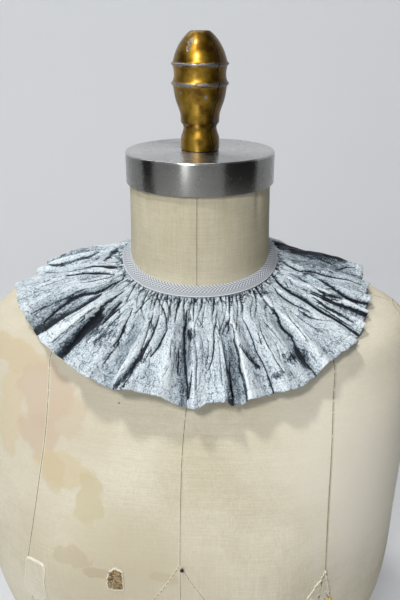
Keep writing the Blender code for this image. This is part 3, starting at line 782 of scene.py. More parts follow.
# each crease: how deep in millimetres, how dark its painted shade is, and its points as angle,
# share of the length and half width in millimetres
CREASES = (
    (0, .5, (-100, .2, 2), (-102.5, .45, 4), (-102.5, .7, 5), (-102, 1, 5)),
    (1.2, .8, (-94.5, .28, .3), (-93.2, .4, 1), (-92.8, .6, 1.2), (-93, .8, 1.2), (-94, .9, .6)),
    (1.6, 1, (-71, .04, .9), (-72.2, .1, 1.5), (-74.3, .18, 1.8), (-76.2, .27, 1.2),
     (-74.8, .35, .9), (-74, .47, 1), (-75.4, .55, 1), (-77.5, .62, 1), (-80.4, .69, .8)),
    (1.6, 1, (-70, .08, .8), (-71.8, .14, 1.7), (-73.3, .21, 1.6), (-75, .3, .8)),
    (1.6, 1, (-63.8, .11, .5), (-66, .16, 1.2), (-68.5, .24, 1.7), (-69.9, .33, 1.5),
     (-70.9, .42, 1.1), (-72, .54, .4)),
    (.6, .5, (-72, .66, .3), (-72.3, .78, .7), (-72.8, .86, .3)),
    (0, .5, (-73.4, .28, 1.5), (-73.8, .36, 3), (-74, .45, 2)),
    (0, .35, (-65.5, .22, 1), (-65.5, .32, 3), (-66.5, .42, 2)),
    (2.2, 1, (-58.5, .07, .4), (-58.8, .15, 1.2), (-58.8, .26, 1.3), (-59.8, .36, 1.3),
     (-61, .46, 1), (-61.8, .58, .8), (-61.4, .75, .6), (-61, .9, .5)),
    (0, .6, (-57.8, .12, 1.5), (-57.5, .2, 3), (-57.5, .3, 2)),
    (2.5, 1.3, (-57.5, .32, 1.5), (-57.5, .5, 3), (-58, .62, 4.5), (-58.6, .8, 7), (-59, 1, 8)),
    (0, .34, (-61, .4, 1.5), (-61.6, .6, 3.5), (-61.8, .75, 4.5), (-62.5, .9, 5), (-62.5, 1, 5)),
    (.6, .45, (-62, .4, .3), (-62.6, .6, .6), (-63, .8, .6), (-63.5, .95, .3)),
    (0, 1.1, (-50.8, .57, 1.4), (-50.6, .68, 2.2), (-50.5, .8, 3), (-50.5, .95, 3)),
    (0, 1, (-43.9, .45, 1.4), (-43.7, .65, 2.2), (-43.5, .85, 2.6), (-43.4, 1, 2.6)),
    (1.2, 1, (-45.9, .16, .4), (-45.4, .28, 1), (-44.8, .42, 1.2), (-44.3, .56, 1.3),
     (-43.8, .68, 1.2), (-43.4, .8, 1.2), (-43.2, .96, 1)),
    (.6, .5, (-45.9, .45, .3), (-45.4, .6, .5), (-45.2, .8, .5), (-45.2, .95, .3)),
    (2, .8, (-42.8, .24, 1), (-42.6, .38, 1.7), (-42, .55, 1.7), (-41, .75, 1.4), (-40.6, 1, 1.4)),
    (0, 1.3, (-37.3, .34, 1), (-37, .45, 2.6), (-36.8, .58, 2.4), (-36.7, .74, 1.4)),
    (0, .4, (-37.5, .22, 1), (-37, .4, 2.5), (-36.6, .6, 2.5), (-36.3, .8, 2.5), (-36, 1, 2.5)),
    (.8, .6, (-34, .3, .3), (-33.5, .42, .6), (-33.3, .5, .3)),
    (1.4, 1, (-32, .25, .3), (-30, .33, .7), (-28.6, .43, 1), (-27.7, .52, 1), (-27.4, .6, .8),
     (-27.7, .68, .4)),
    (.6, .6, (-26.8, .62, .2), (-27, .74, .6), (-27.2, .86, .5)),
    (1.4, .85, (-28.7, .05, .5), (-28.8, .14, 1.1), (-28.7, .24, 1.1), (-28.3, .3, .4)),
    (1.2, .85, (-24.5, .1, .4), (-22, .18, .8), (-19.8, .26, .7), (-18.4, .38, .55),
     (-17.3, .52, .6), (-17, .64, .6)),
    (3, 1, (-15.9, .5, .3), (-16.3, .6, 1.2), (-16.9, .7, 2), (-17.9, .8, 2.7), (-19, .9, 3),
     (-20.6, 1, 3)),
    (1.4, .95, (-17, .22, .3), (-16, .33, .8), (-15.6, .48, .8), (-15.7, .6, .8), (-16.2, .72, .6)),
    (.8, .7, (-17.5, .72, .2), (-17.3, .85, .6), (-18, .98, .6)),
    (1, .75, (-25, .04, .6), (-21, .09, .9), (-16.5, .16, .9), (-13, .25, .9), (-10.8, .36, .6)),
    (.8, .7, (-31, .06, .4), (-27, .1, .7), (-23, .14, .5)),
    (.8, .65, (-19, .04, .4), (-15, .1, .8), (-12.5, .19, .7), (-11, .3, .4)),
    (2, .95, (-10.6, .36, .7), (-11.2, .45, 1.2), (-11.8, .55, 1.2), (-12.8, .62, 1.1),
     (-13.7, .68, .4)),
    (1, .8, (-13.8, .58, .3), (-14.6, .66, .8), (-15.4, .75, .6)),
    (.6, .6, (-6, .7, .2), (-6.4, .75, .6), (-7, .82, .2)),
    (1.4, .95, (-9.3, .04, .8), (-8.7, .13, 1.3), (-8, .22, 1.1), (-7.3, .3, .5)),
    (1.6, 1, (-2.6, .12, .6), (-2.5, .2, 1), (-2.2, .28, .9), (-1.8, .34, .5)),
    (.8, .85, (-4.2, .12, .5), (-3.9, .18, .8), (-3.9, .24, .4)),
    (2, 1, (-3, .28, .4), (-2.4, .34, .8), (-2, .4, 1), (-1.6, .5, 1), (-1.1, .6, .9),
     (-.5, .7, .9), (.1, .82, .9), (.5, .92, .7), (1, 1, .5)),
    (0, .45, (-3, .36, 2), (-2.8, .5, 2.4), (-2.4, .65, 2.2), (-1.5, .85, 1.8), (-1, 1, 1.8)),
    (.8, .9, (-4, .52, .3), (-3.6, .6, .8), (-3.2, .68, .7), (-2.8, .76, .4)),
    (1.2, 1, (2.4, .66, .3), (1.9, .74, 1), (1.3, .84, 1.1), (1.3, .94, .8)),
    (0, .42, (.6, .36, 2), (.9, .5, 2.2), (1.2, .65, 2)),
    (.8, .6, (2.2, .38, .4), (3.3, .5, .8), (3.8, .62, .7), (3.9, .85, .5)),
    (.8, .6, (8, .08, .3), (7, .18, .6), (6, .28, .3)),
    (1.3, 1, (15, .16, .3), (13.6, .24, .7), (12, .33, .8), (11, .43, .8), (10.2, .54, .8),
     (9.3, .64, .7), (7.8, .72, .5), (6, .76, .2)),
    (1.5, 1, (24, .11, .5), (22, .18, .8), (20.2, .25, .6), (18.8, .35, .5), (17.2, .39, .3)),
    (1, .8, (13.6, .28, .3), (14.2, .34, .5), (15, .4, .3)),
    (0, .4, (18.6, .44, 1), (18.4, .55, 2.2), (17.9, .68, 3.8), (17.5, .8, 4.2), (17.3, 1, 4.5)),
    (1.4, .85, (17.6, .6, .3), (16.6, .7, 1.2), (16.2, .84, 1.3), (15.9, .96, 1.2)),
    (1, .8, (20.8, .3, .3), (20.1, .42, .6), (20, .55, .6), (19.6, .75, .7), (19.3, 1, .7)),
    (0, 1, (14.8, .68, 1), (14.6, .84, 2), (14.3, 1, 2.5)),
    (0, .8, (21.5, .52, 1), (23.5, .61, 2.4), (25.5, .7, 2.4), (27, .75, 1.4)),
    (1, .8, (21, .52, .3), (22.5, .6, .6), (24.2, .67, .8), (26, .73, .6)),
    (1, .85, (28, .28, .4), (28, .4, .6), (28.2, .6, .5), (28.5, .8, .6), (28.4, 1, .6)),
    (.8, .6, (31.8, .36, .3), (30.8, .45, .6), (30.2, .56, .3)),
    (1, .85, (32, .68, .2), (32.5, .76, .7), (33, .86, .3)),
    (.8, .6, (36, .06, .4), (32, .12, .7), (29, .2, .7), (27.5, .3, .3)),
    (.8, .6, (41, .08, .4), (37, .14, .8), (33, .22, .7), (31, .3, .3)),
    (1, .7, (45, .06, .6), (41, .14, .9), (36.5, .22, .8), (33, .3, .4)),
    (1.2, .85, (44.5, .16, .4), (44.3, .28, .5), (44, .42, .6), (44.1, .6, .5), (44, .68, .3)),
    (1.2, .9, (43.8, .66, .4), (43.6, .8, .7), (43.6, 1, .8)),
    (1, .7, (50.5, .32, .3), (48.5, .38, .6), (47, .47, .8), (46.2, .58, .8), (45.7, .72, .5)),
    (2, 1, (61, .11, .4), (57.6, .13, .9), (56, .18, 1.2), (55.2, .26, 1.2), (55.3, .36, 1.2),
     (55.9, .45, .9), (56.2, .54, .3)),
    (1.2, .9, (54, .43, .4), (54.2, .5, 1.3), (54.9, .58, 1), (56, .64, .8), (59, .72, .3)),
    (2, 1, (71, .02, .6), (67.5, .05, 1), (65.2, .1, 1.3), (64.3, .17, 1.4), (64.3, .28, 1.3),
     (64.9, .4, .9), (65.2, .55, .7), (65.6, .75, .6), (65.6, 1, .5)),
    (1, .9, (66.7, .46, .3), (66.4, .6, .7), (66.6, .75, .7), (66.9, .9, .5)),
    (0, .8, (67.8, .53, 2), (67.9, .6, 3), (68.1, .75, 3.2), (68.2, .87, 2)),
    (0, .7, (84.6, .28, 2), (84.8, .36, 3.5), (84.9, .45, 2)),
    (1.4, .95, (73.6, .38, .5), (72.8, .45, 1.1), (72.7, .55, 1.2), (73.1, .65, 1.3),
     (74, .72, .5)),
    (0, .85, (73.2, .6, 1.5), (74, .68, 3.4), (75.4, .75, 3.8), (77.6, .81, 2.8), (79.6, .86, 2)),
    (1.6, 1, (71.3, .44, .3), (71.7, .56, .5), (72.2, .68, .6), (72.9, .8, .7), (73.5, .92, 1.2),
     (73.9, 1, 1.5)),
    (.8, .6, (77.6, .15, .3), (77.4, .28, .6), (77.2, .38, .3)),
    (2.2, 1, (88, .05, .4), (85.6, .13, .9), (84.5, .21, 1.5), (83.6, .29, 1.5), (81.6, .33, 1.1),
     (80.3, .38, .7), (79.9, .5, .5), (79.6, .65, .4), (79.8, .8, .8), (81.2, 1, .7)),
    (1.6, 1, (84.8, .26, .4), (86.2, .33, .6), (87.1, .42, .6), (87.8, .52, .6),
     (89, .65, .6), (90.2, .8, .6), (91.5, .95, .4)),
    (0, .34, (82.5, .38, 2), (82, .5, 4), (83, .7, 4), (84, .9, 4)),
    (0, .12, (-25, .28, 4), (-24.5, .45, 7), (-24, .62, 7), (-23.5, .8, 5)),
    (0, .5, (91, .16, 3), (92.5, .3, 9), (94, .45, 14), (95.5, .6, 16), (97, .75, 14),
     (98, 1, 10)),
    (1.2, 1, (91, .6, .3), (95.5, .68, .8), (99.5, .68, .9), (102, .77, .9), (104, .9, .5)),
    (1, .6, (97, .15, .4), (96, .35, 1), (96, .5, .8)),
    (0, 1.5, (107, .05, 5), (107, .16, 10), (107, .35, 12), (107, .55, 12), (107, .68, 10),
     (107, .8, 6)),
    (0, 1.4, (114, .04, 5), (114.5, .2, 9), (115.5, .42, 9), (116, .6, 5)),
)
# patches of painted shade where the silk turns from the light: angle, share, reach across and
# along, depth
PATCHES = (
    (-33, .61, 11, 15, .8), (-31.5, .56, 5, 6, .7), (26, .735, 4, 4, .9), (31.2, .85, 5, 4, .95),
    (39, .74, 9, 6, 1), (42.5, .8, 6, 10, 1.1), (42, .92, 5, 8, .5), (0.5, .36, 5, 7, 1),
    (-1, .22, 4, 7, .6), (81.3, .3, 5, 3, .9),
    (-4.5, .31, 4, 1.5, .8), (50, .1, 6, 6, .6), (47, .05, 5, 4, .6), (90.5, .4, 7, 12, .4),
    (-104, .8, 7, 6, .7), (12, .3, 3, 5, .4), (-95, .11, 11, 3, 1.1), (-88, .15, 11, 3, 1.2),
    (-82, .168, 7, 2.4, 1.1), (-21, .44, 5, 4, .35), (14.2, .97, 3, 4, .9), (-19, .97, 6, 5, .6),
    (52, .66, 3, 6, .3), (22, .3, 5, 5, .35), (-6, .75, 3, 4, .3), (54.5, .5, 4, 4, .5),
)


def smooth_step(x):
    x = np.clip(x, 0.0, 1.0)
    return x * x * (3.0 - 2.0 * x)


def round_curve(angles, values, at):
    """A smooth closed curve of values over angles, read at many angles (degrees)."""
    angles, values = np.array(angles, float), np.array(values, float)
    count = len(angles)
    at = (at - angles[0]) % 360.0 + angles[0]
    i = np.searchsorted(angles, at, side="right") - 1

    def knot(k):
        return angles[k % count] + 360.0 * (k // count), values[k % count]

    (a0, v0), (a1, v1), (a2, v2), (a3, v3) = (knot(i + step) for step in (-1, 0, 1, 2))
    width = a2 - a1
    return cubic((at - a1) / width, v1, v2, (v2 - v0) / (a2 - a0) * width,
                 (v3 - v1) / (a3 - a1) * width)


def neckline_at(angle, column):
    """Column 1 is the tape's fall from the cap, 2 the ruffle's slope and 3 its length."""
    rows = list(zip(*NECKLINE))
    return round_curve(rows[0], rows[column], angle)


def across_tape(along, depth):
    """Radius and height, against the fold, of a place on the tape: along its width from the
    fold, and depth under its outer face."""
    size = math.hypot(TAPE_REACH, TAPE_DROP)
    run, fall = TAPE_REACH / size, TAPE_DROP / size
    return TAPE_START + run * along - fall * depth, -fall * along - run * depth


def fold_rows(band):
    """Hem angle, lift and hem rise at many angles of the tape, eased from fold to fold."""
    table = np.array(FOLDS, float)
    i = np.clip(np.searchsorted(table[:, 0], band, side="right") - 1, 0, len(table) - 2)
    share = (band - table[i, 0]) / (table[i + 1, 0] - table[i, 0])
    return [table[i, column] + (table[i + 1, column] - table[i, column]) * eased
            for column, eased in ((1, share), (2, smooth_step(share)), (3, smooth_step(share)))]


def swell(share):
    """How far a fold has risen at a share of the strip's length."""
    return smooth_step(np.maximum(share, 0.0) / FOLD_FULL_AT) ** FOLD_SWELL


def ruffle_surface(band, share, longer=0.0):
    """The ruffle's middle surface with its main folds: its angles, radii and points."""
    hem, lift, drawn_up = fold_rows(band)
    down = np.maximum(share, 0.0)
    at = band + (hem - band) * down
    fall, slope, length = (neckline_at(at, column) for column in (1, 2, 3))
    radius, height = across_tape(TAPE_WIDTH, TAPE_LEAF + SEAM_GAP + STRIP_WALL / 2.0)
    heading = np.minimum(share, 0.0) * length
    size = math.hypot(TAPE_REACH, TAPE_DROP)
    radius = radius + heading * TAPE_REACH / size
    height = height - fall - heading * TAPE_DROP / size
    run = (length - drawn_up + longer) * down
    for step in range(SLOPE_STEPS):
        here = (step + 0.5) / SLOPE_STEPS * down
        tilt = np.radians(slope + SLOPE_SPREAD * (here - 0.5))
        radius = radius + np.cos(tilt) * run / SLOPE_STEPS
        height = height - np.sin(tilt) * run / SLOPE_STEPS
    lean = np.radians(90.0 - LEAN_PER_SLOPE * slope)
    lift = lift * swell(share)
    return at, radius, around(at, radius + lift * np.cos(lean), height + lift * np.sin(lean))


def soft_noise(x, y, seed):
    """Smooth noise from -1 to 1 over a plane, one bump to a unit."""
    lattice = np.random.default_rng(seed).uniform(-1.0, 1.0, (64, 64))
    i, j = np.floor(x).astype(int), np.floor(y).astype(int)
    u, v = smooth_step(x - i), smooth_step(y - j)
    near, far = (lattice[i % 64, row % 64] * (1 - u) + lattice[(i + 1) % 64, row % 64] * u
                 for row in (j, j + 1))
    return near * (1 - v) + far * v


def cloth_strip(name, grid, cut, values, thick):
    """A strip of cloth from a grid of points. Its flat cut is its UV map, the values are kept
    on its points, and its thickness is in millimetres."""
    pick()
    bpy.ops.mesh.primitive_grid_add(x_subdivisions=grid.shape[0] - 1,
                                    y_subdivisions=grid.shape[1] - 1, size=1.0)
    strip = bpy.context.object
    strip.name = name

    def listed(array):
        return np.swapaxes(array, 0, 1).reshape(-1).astype(np.float32)

    strip.data.vertices.foreach_set("co", listed(grid))
    for key, value in values.items():
        strip.data.attributes.new(key, "FLOAT", "POINT").data.foreach_set("value", listed(value))
    corners = np.empty(len(strip.data.loops), int)
    strip.data.loops.foreach_get("vertex_index", corners)
    cut = listed(np.stack(np.broadcast_arrays(*cut), axis=-1)).reshape(-1, 2)
    strip.data.uv_layers[0].data.foreach_set("uv", cut[corners].reshape(-1))
    shape_with(strip, "SOLIDIFY", thickness=thick * MM, offset=0.0)
    face_outwards()
    bpy.ops.object.shade_smooth()
    return strip


# rows lie closer together at the tape and the hem, and columns at the front
rows_down = np.concatenate([[-HEADING / MEAN_DEEP, -0.02, -0.006],
                            np.linspace(0.0, 0.36, 21)[:-1], np.linspace(0.36, 0.9, 21)[:-1],
                            np.linspace(0.9, 1.0, 8)])
half_turn = 180.0 - BACK_SLIT / 2.0
spaced = np.linspace(-1.0, 1.0, COLUMNS)
band, share = np.meshgrid(half_turn * (0.82 * spaced + 0.18 * spaced**5), rows_down,
                          indexing="ij")
ragged = 0.9 * soft_noise(band / 1.4, share * 0, 5) + 1.1 * soft_noise(band / 5.0, share * 0, 6)
at, radius, base = ruffle_surface(band, share, ragged)
length = neckline_at(at, 3)
out = np.radians(at) * MEAN_RADIUS
down = share * length
wander = soft_noise(out / 7.0 + 9.0, down / 11.0, 11)
height, shade, crease_line_shade = (np.zeros_like(share) for _ in range(3))
across_line, line_score = (np.full_like(share, UNTOUCHED) for _ in range(2))


def off_by(here, angle):
    """How far the cloth's columns are from an angle round the neck, in millimetres."""
    return np.radians((at[:, here] - angle + 180.0) % 360.0 - 180.0) * radius[:, here]


def press_crease(deep, dark, points, gives_way=False):
    """Press one crease into the cloth. A narrow one also leaves a sharp line of painted shade, kept
    as the distance across it in half widths, and a wide one a soft painted shade. One that gives
    way is left out where it would run along another."""
    angles, shares, widths = (np.array(column) for column in zip(*points))
    rows = share[0]
    here = np.nonzero((rows >= shares[0] - 0.001) & (rows <= shares[-1] + 0.001))[0]
    if len(here) == 0:
        return
    width = np.interp(rows[here], shares, widths)
    off = off_by(here, np.interp(rows[here], shares, angles)) + wander[:, here] * 0.5
    taken = np.take_along_axis(line_score[:, here], np.abs(off).argmin(axis=0)[None], axis=0)
    if gives_way and (taken < 3.0).mean() > 0.15:
        return
    groove = np.exp(-(off / (width + 0.3)) ** 2)
    lips = np.exp(-((np.abs(off) - 2.4 * width - 0.3) / (width + 0.2)) ** 2)
    height[:, here] -= deep * (width / widths.max()) ** 0.7 * (groove - 0.22 * lips)
    if widths.max() > SHADED_OVER:
        soft = np.exp(-np.abs(off / (0.8 * width + 0.2)) ** 2.5)
        shade[:, here] = np.maximum(shade[:, here], dark * soft)
    if widths.max() <= SHARP_UP_TO:
        lateral = off / (0.62 * width + 0.08)
        score = np.abs(lateral) / (0.35 + dark)
        wins = score < line_score[:, here]
        faded = dark * smooth_step((3.4 - np.abs(lateral)) / 1.4)
        for kept, new in ((line_score, score), (across_line, lateral), (crease_line_shade, faded)):
            kept[:, here] = np.where(wins, new, kept[:, here])


for deep, dark, *points in CREASES:
    press_crease(deep, dark, points)
    behind = [((360.0 - a) % 360.0 - 180.0, b, w) for a, b, w in points]
    if all(112 < abs(a) < 176 for a, b, w in behind):
        press_crease(deep, dark, behind)
# short gathers under the tape, then long creases and small crinkles all over
random.seed(20)
for gather in range(GATHERS):
    angle = -177.5 + 355.0 * (gather + 0.5) / GATHERS + random.uniform(-0.9, 0.9)
    long = random.choice((0.05, 0.07, 0.1, 0.14, 0.18, 0.24, 0.34, 0.46))
    lean = 34.0 * math.sin(math.radians(2.0 * angle)) * (0.3 if angle < -50.0 else 1.0)
    drift = random.uniform(-1.6, 1.6) - lean * long
    wide = random.uniform(0.35, 0.8)
    press_crease(random.uniform(0.9, 2.0), random.uniform(0.6, 1.0),
                 ((angle, 0.0, wide), (angle + drift * 0.4, long * 0.5, wide),
                  (angle + drift, long, 0.15)))
for crease in range(LONG_CREASES):
    angle, start = random.uniform(-178, 178), random.uniform(0.02, 0.55)
    long, drift = random.uniform(0.15, 0.42), random.uniform(-3.0, 3.0)
    bow = random.uniform(-1.2, 1.2)
    wide = random.uniform(0.25, 0.55)
    press_crease(random.uniform(0.5, 1.4), random.uniform(0.5, 1.2),
                 ((angle, start, 0.12), (angle + drift * 0.3 + bow, start + long * 0.3, wide),
                  (angle + drift * 0.7 + bow, start + long * 0.7, wide),
                  (angle + drift, start + long, 0.12)), True)
for crease in range(SHORT_CREASES):
    angle, start = random.uniform(-178, 178), random.uniform(0.06, 0.88)
    long = random.uniform(0.03, 0.14)
    drift = random.uniform(-6.0, 6.0)
    press_crease(random.uniform(0.2, 0.6), random.uniform(0.15, 0.7),
                 ((angle, start, 0.12), (angle + drift * 0.4, start + long / 2,
                                         random.uniform(0.2, 0.45)),
                  (angle + drift, start + long, 0.12)), True)

# soft crumples, knots of gathered cloth under the tape painted dark as shade, and the doubled hem
crumple = 0.0
for cell, tall, amount, seed in CRUMPLES:
    bumps = soft_noise((out + 2.5 * wander) / cell, down / tall, seed)
    crumple = crumple + amount * (1.0 - 2.0 * np.abs(bumps) ** 0.8)
knots = np.clip(2.2 * soft_noise(out / 1.5, down / 1.6, 35), 0.0, 1.0)
knots = knots * smooth_step((0.13 - share) / 0.1) * (share > 0.004)
shade = np.maximum(shade, 0.8 * knots)
height += crumple * (0.35 + 0.65 * smooth_step(share / 0.25)) * (share > 0) - 0.5 * knots
past_hem = share - (1.0 - HEM_DEEP / length)
height += 0.35 * smooth_step(past_hem / 0.02) - 0.5 * np.exp(-(past_hem / 0.008) ** 2)
height += 1.1 * soft_noise(out / 9.0, share * 0, 41) * smooth_step((share - 0.8) / 0.2)
height *= smooth_step((share + 0.004) / 0.02)

normal = np.cross(np.gradient(base, axis=1), np.gradient(base, axis=0))
normal /= np.linalg.norm(normal, axis=2, keepdims=True)
if normal[COLUMNS // 2, 30, 2] < 0:
    normal = -normal
points = base + normal * (height * MM)[..., None]
for column in range(COLUMNS):
    for row in range(HEADING_ROWS, len(rows_down)):
        place = Vector(points[column, row])
        hit, facing, _, _ = body_tree.find_nearest(place, BODY_NEAR * MM)
        if hit is not None:
            gap = (place - hit).dot(facing)
            if gap < BODY_GAP * MM:
                points[column, row] = place + facing * (BODY_GAP * MM - gap)

# values for the silk's colour, painted as light and shade: how far a place stands out of the
# cloth near it, and how far a fold stands out of the folds near it, lighter out and darker in
local = height
for _ in range(6):
    padded = np.pad(local, 1, mode="edge")
    local = (padded[2:, 1:-1] + padded[:-2, 1:-1] + padded[1:-1, 2:] + padded[1:-1, :-2]) / 4
lifts = fold_rows(band)[1] * swell(share)
broad = lifts
for _ in range(60):
    padded = np.pad(broad, ((1, 1), (0, 0)), mode="edge")
    broad = (padded[2:] + 2 * padded[1:-1] + padded[:-2]) / 4
patch = np.zeros_like(share)
for angle, place, wide, tall, dark in PATCHES:
    spread = (off_by(slice(None), angle) / wide) ** 2 + ((share - place) * length / tall) ** 2
    patch = np.maximum(patch, dark * np.exp(-spread))
flat_across = np.cumsum(np.linalg.norm(np.gradient(points, axis=0), axis=2)[:, 20])
ruffle = cloth_strip("ruffle_cloth_strip", points, (flat_across[:, None], down * MM), {
    "shade": shade, "relief": np.clip((height - local) * 0.9, -1.0, 1.0),
    "folded": np.clip((lifts - broad) / 5.0, -1.0, 1.0), "across_line": across_line,
    "crease_line_shade": crease_line_shade, "patch": patch}, CLOTH_THICK)

silk = Patterned("crushed_silk", (0.45, 0.5, 0.55), 0.62, Sheen_Weight=0.04,
                 Specular_IOR_Level=0.3, Sheen_Roughness=0.4)
flat = silk.node("UVMap", uv_map=ruffle.data.uv_layers[0].name).outputs["UV"]


def silk_noise(across, down, detail=2.0, rough=0.6):
    """Noise drawn out along the flat cloth."""
    return silk.noise((across, down, 1.0), detail, rough, flat)


def silk_lines(across, down, reach):
    """Thin wandering lines where noise crosses its middle value; 1 on a line."""
    return silk.fade(silk.apart(silk_noise(across, down, 3.0, 0.55), 0.5), reach, 0.0)


weave = silk.plus(silk.times(silk_noise(1150.0, 900.0, 2.0, 0.7), 0.65),
                  silk_noise(1300.0, 420.0), 0.35)
cloud = silk.noise(70.0, 3.0, 0.6)
crinkles = silk.times(silk_lines(240.0, 62.0, 0.03), cloud)
cracks = silk.times(silk_lines(420.0, 150.0, 0.04), cloud)
uneven = silk.times(silk.plus(silk_noise(700.0, 300.0), -0.5), 2.2)
across = silk.maths("ABSOLUTE", silk.plus(silk.painted("across_line"), uneven))
broken = silk.fade(silk_noise(170.0, 70.0), 0.3, 0.62, True)
# painted shade along the crease lines
line = silk.times(silk.fade(across, 1.25, 0.35, True), silk.painted("crease_line_shade"))
line = silk.times(line, silk.plus(0.5, broken, 0.5))
streaks = silk.plus(silk_noise(420.0, 130.0, 3.0, 0.7), -0.5)
# painted shade in the patches where the silk turns from the light
patch_shade = silk.fade(silk.plus(silk.painted("patch"), streaks, 2.4), 0.25, 1.1, True)
patch_shade = silk.times(patch_shade, silk.plus(0.6, broken, 0.4))
shaded = silk.times(silk.painted("shade"), silk.plus(0.56, streaks, 1.1))
drawn_out = silk.plus(silk_noise(90.0, 22.0, 4.0, 0.65), -0.5)
tone = silk.plus(0.62, silk.plus(weave, -0.5), 1.5)
# relief and folded paint light on ridges and shade in hollows
for value, weight in ((drawn_out, 0.7), (cloud, 0.2), (silk.painted("relief"), 0.15),
                      (silk.painted("folded"), 0.22), (crinkles, -0.45), (cracks, -0.32),
                      (shaded, -1.0), (patch_shade, -0.75), (line, -0.8)):
    tone = silk.plus(tone, value, weight)
silk.color(silk.ramp(tone, (0.0, (0.006, 0.009, 0.014)), (0.22, (0.035, 0.048, 0.068)),
                     (0.45, (0.20, 0.25, 0.295)), (0.66, (0.52, 0.595, 0.65)),
                     (1.0, (0.84, 0.91, 0.95))))
dented = silk.plus(silk.times(line, 2.0), silk.plus(crinkles, cracks), 0.8)
silk.bump(silk.maths("SUBTRACT", weave, dented), 0.6, 0.5)
fit(ruffle, silk, "ruffle")

# ------------------------------------------------------------------ hem stitches
# Grey sewing thread in short straight stitches 7.6 mm above the hem, through both layers of the
# cloth. Each stitch lies in the small dent that it pulls into the silk.
STITCH_LONG, STITCH_STEP, STITCH_MARGIN = 1.7, 2.5, 3.0
STITCH_SECTION = ((0.12, 0.05), (0.0, 0.2), (-0.12, 0.05), (0.0, -0.12))
STITCH_ROWS = ((0.0, -0.15), (0.25, 0.06), (0.75, 0.06), (1.0, -0.15))
hem_length = np.linalg.norm(np.diff(points[:, -1], axis=0), axis=1)
hem_at = np.concatenate([[0.0], np.cumsum(hem_length)]) / MM
stitch_share = 1.0 - HEM_DEEP / MEAN_DEEP
row = int(np.searchsorted(rows_down, stitch_share))
blend = (stitch_share - rows_down[row - 1]) / (rows_down[row] - rows_down[row - 1])
seam_line = points[:, row - 1] * (1 - blend) + points[:, row] * blend


def along_hem(values, mark):
    """A point or direction on the cloth, read at a distance along the hem."""
    return Vector([np.interp(mark, hem_at, values[:, k]) for k in range(3)])


tubes = []
for start in np.arange(STITCH_MARGIN, hem_at[-1] - STITCH_MARGIN, STITCH_STEP):
    middles = [along_hem(seam_line, start + STITCH_LONG * t) for t, _ in STITCH_ROWS]
    facing = along_hem(normal[:, row], start + STITCH_LONG * STITCH_ROWS[1][0]).normalized()
    side = facing.cross((middles[3] - middles[0]).normalized()).normalized()
    tubes.append([[middle + (side * a + facing * (b + rise + CLOTH_THICK / 2.0)) * MM
                   for a, b in STITCH_SECTION] for middle, (_, rise) in zip(middles, STITCH_ROWS)])
hem_stitches = skin("hem_stitches", tubes)
grey_thread = thread("grey_thread", (0.15, 0.18, 0.21), (0.05, 0.06, 0.075))
fit(hem_stitches, grey_thread, "ruffle")

# ------------------------------------------------------------------ neck tape
# A grey cotton twill tape 21 mm wide, folded over the gathered edge and sewn down near its
# lower edge. Its diagonal ribs stand out where it is stretched over the fold.
TAPE_COLUMNS = 960
TAPE_THICK = 0.4
TAPE_FACE = 0.42
TAPE_INNERMOST, TAPE_MEAN_RADIUS = 59.45, 63.0
RIB_PITCH, RIB_SLANT = 3.0, 1.3
tape_bands = np.linspace(-half_turn, half_turn, TAPE_COLUMNS)
fold_middle = TAPE_LEAF + SEAM_GAP + STRIP_WALL / 2.0
outer = [(TAPE_WIDTH - d, TAPE_FACE)
         for d in (0.0, 0.5, 1.2, 2.2, 3.4, 4.6, 5.8, 7.0, 8.0, 8.8, 9.4)]
over = [(TAPE_WIDTH - 9.4 - math.sin(a), fold_middle - (fold_middle - TAPE_FACE) * math.cos(a))
        for a in (math.radians(d) for d in range(20, 161, 20))]
inner = [(TAPE_WIDTH - d, 2 * fold_middle - TAPE_FACE) for d in (9.2, 8.4, 7.2, 5.6)]
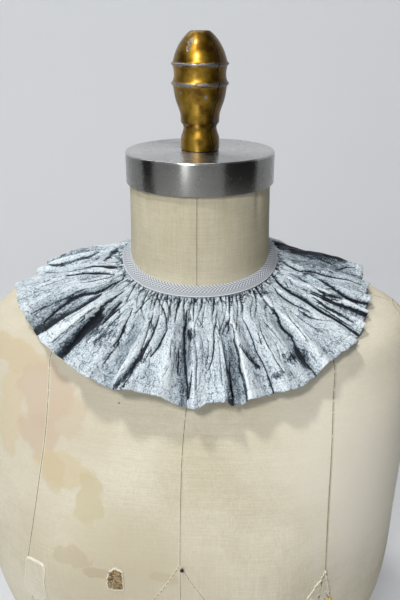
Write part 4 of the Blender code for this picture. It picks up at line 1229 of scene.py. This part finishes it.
# each part of the tape's section, and how far its ribs carry it along and out
section = [(place, 0.0, 1.0) for place in outer] + [(place, 0.7, 0.5) for place in over]
section += [(place, 0.0, 0.0) for place in inner]
travel = np.hypot(*np.diff(np.array([place for place, _, _ in section]), axis=0).T)
travel = np.concatenate([[0.0], np.cumsum(travel)])
walked = np.radians(tape_bands) * TAPE_MEAN_RADIUS
tape_top = -neckline_at(tape_bands, 1)
tape_points, rib_light_and_shade = [], []
for gone, ((along_tape, depth), back_by, up_by) in zip(travel, section):
    rib = np.abs(((walked + RIB_SLANT * gone) / RIB_PITCH) % 1.0 - 0.5) * 2.0
    strong = smooth_step((gone - 2.6) / 3.0) * smooth_step((15.0 - gone) / 3.0)
    uneven = 0.12 * soft_noise(walked / 3.1, gone / 2.0 + walked * 0, 51)
    raised = (0.6 * rib - 0.2) * strong + uneven
    rib_light_and_shade.append((rib - 0.5) * strong)
    radii, heights = across_tape(along_tape - back_by * raised, depth - up_by * raised)
    tape_points.append(around(tape_bands, np.maximum(radii, TAPE_INNERMOST), tape_top + heights))
tape = cloth_strip("twill_neck_tape", np.stack(tape_points, axis=1),
                   (walked[:, None] * MM, travel[None, :] * MM),
                   {"rib": np.stack(rib_light_and_shade, axis=1)}, TAPE_THICK)

twill = Patterned("grey_twill", (0.38, 0.41, 0.45), 0.75)
flat = twill.node("UVMap", uv_map=tape.data.uv_layers[0].name).outputs["UV"]
slanted = twill.node("Mapping", Vector=flat, Scale=(430.0, 430.0 * RIB_SLANT, 1.0)).outputs[0]
ribs = twill.node("TexWave", bands_direction="DIAGONAL", Vector=slanted, Scale=1.0,
                  Distortion=0.4, Detail=1.0).outputs["Fac"]
tone = twill.times(twill.noise((1900.0, 1300.0, 1.0), 2.0, 0.7, flat), 0.6)
# painted light and shade: the ribs' tops are lighter and the gaps between them darker
tone = twill.plus(twill.plus(tone, ribs, 0.12), twill.painted("rib"), 1.9)
color = twill.ramp(tone, (0.15, (0.22, 0.24, 0.275)), (0.8, (0.66, 0.695, 0.735)))
edge = twill.fade(twill.along("Y", flat), 0.9 * MM, 0.2 * MM)
twill.color(twill.mix(edge, color, (0.75, 0.78, 0.81)))
twill.bump(tone, 0.4, 0.2)
fit(tape, twill, "neck_tape")

# ------------------------------------------------------------------ hook and eye
# One hook and one eye of thin plated steel wire close the tape at the centre back; their wire is
# carried over from the CAD as it is.
wire_steel = Patterned("closure_wire", (0.50, 0.50, 0.52), 0.30, Metallic=1.0)
wire_steel.color(wire_steel.mix(wire_steel.noise(900.0, 3.0, 0.6), (0.26, 0.26, 0.28),
                                (0.62, 0.62, 0.64)))
for name in ("closure_hook", "closure_eye"):
    wire_steel.cover(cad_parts[name])
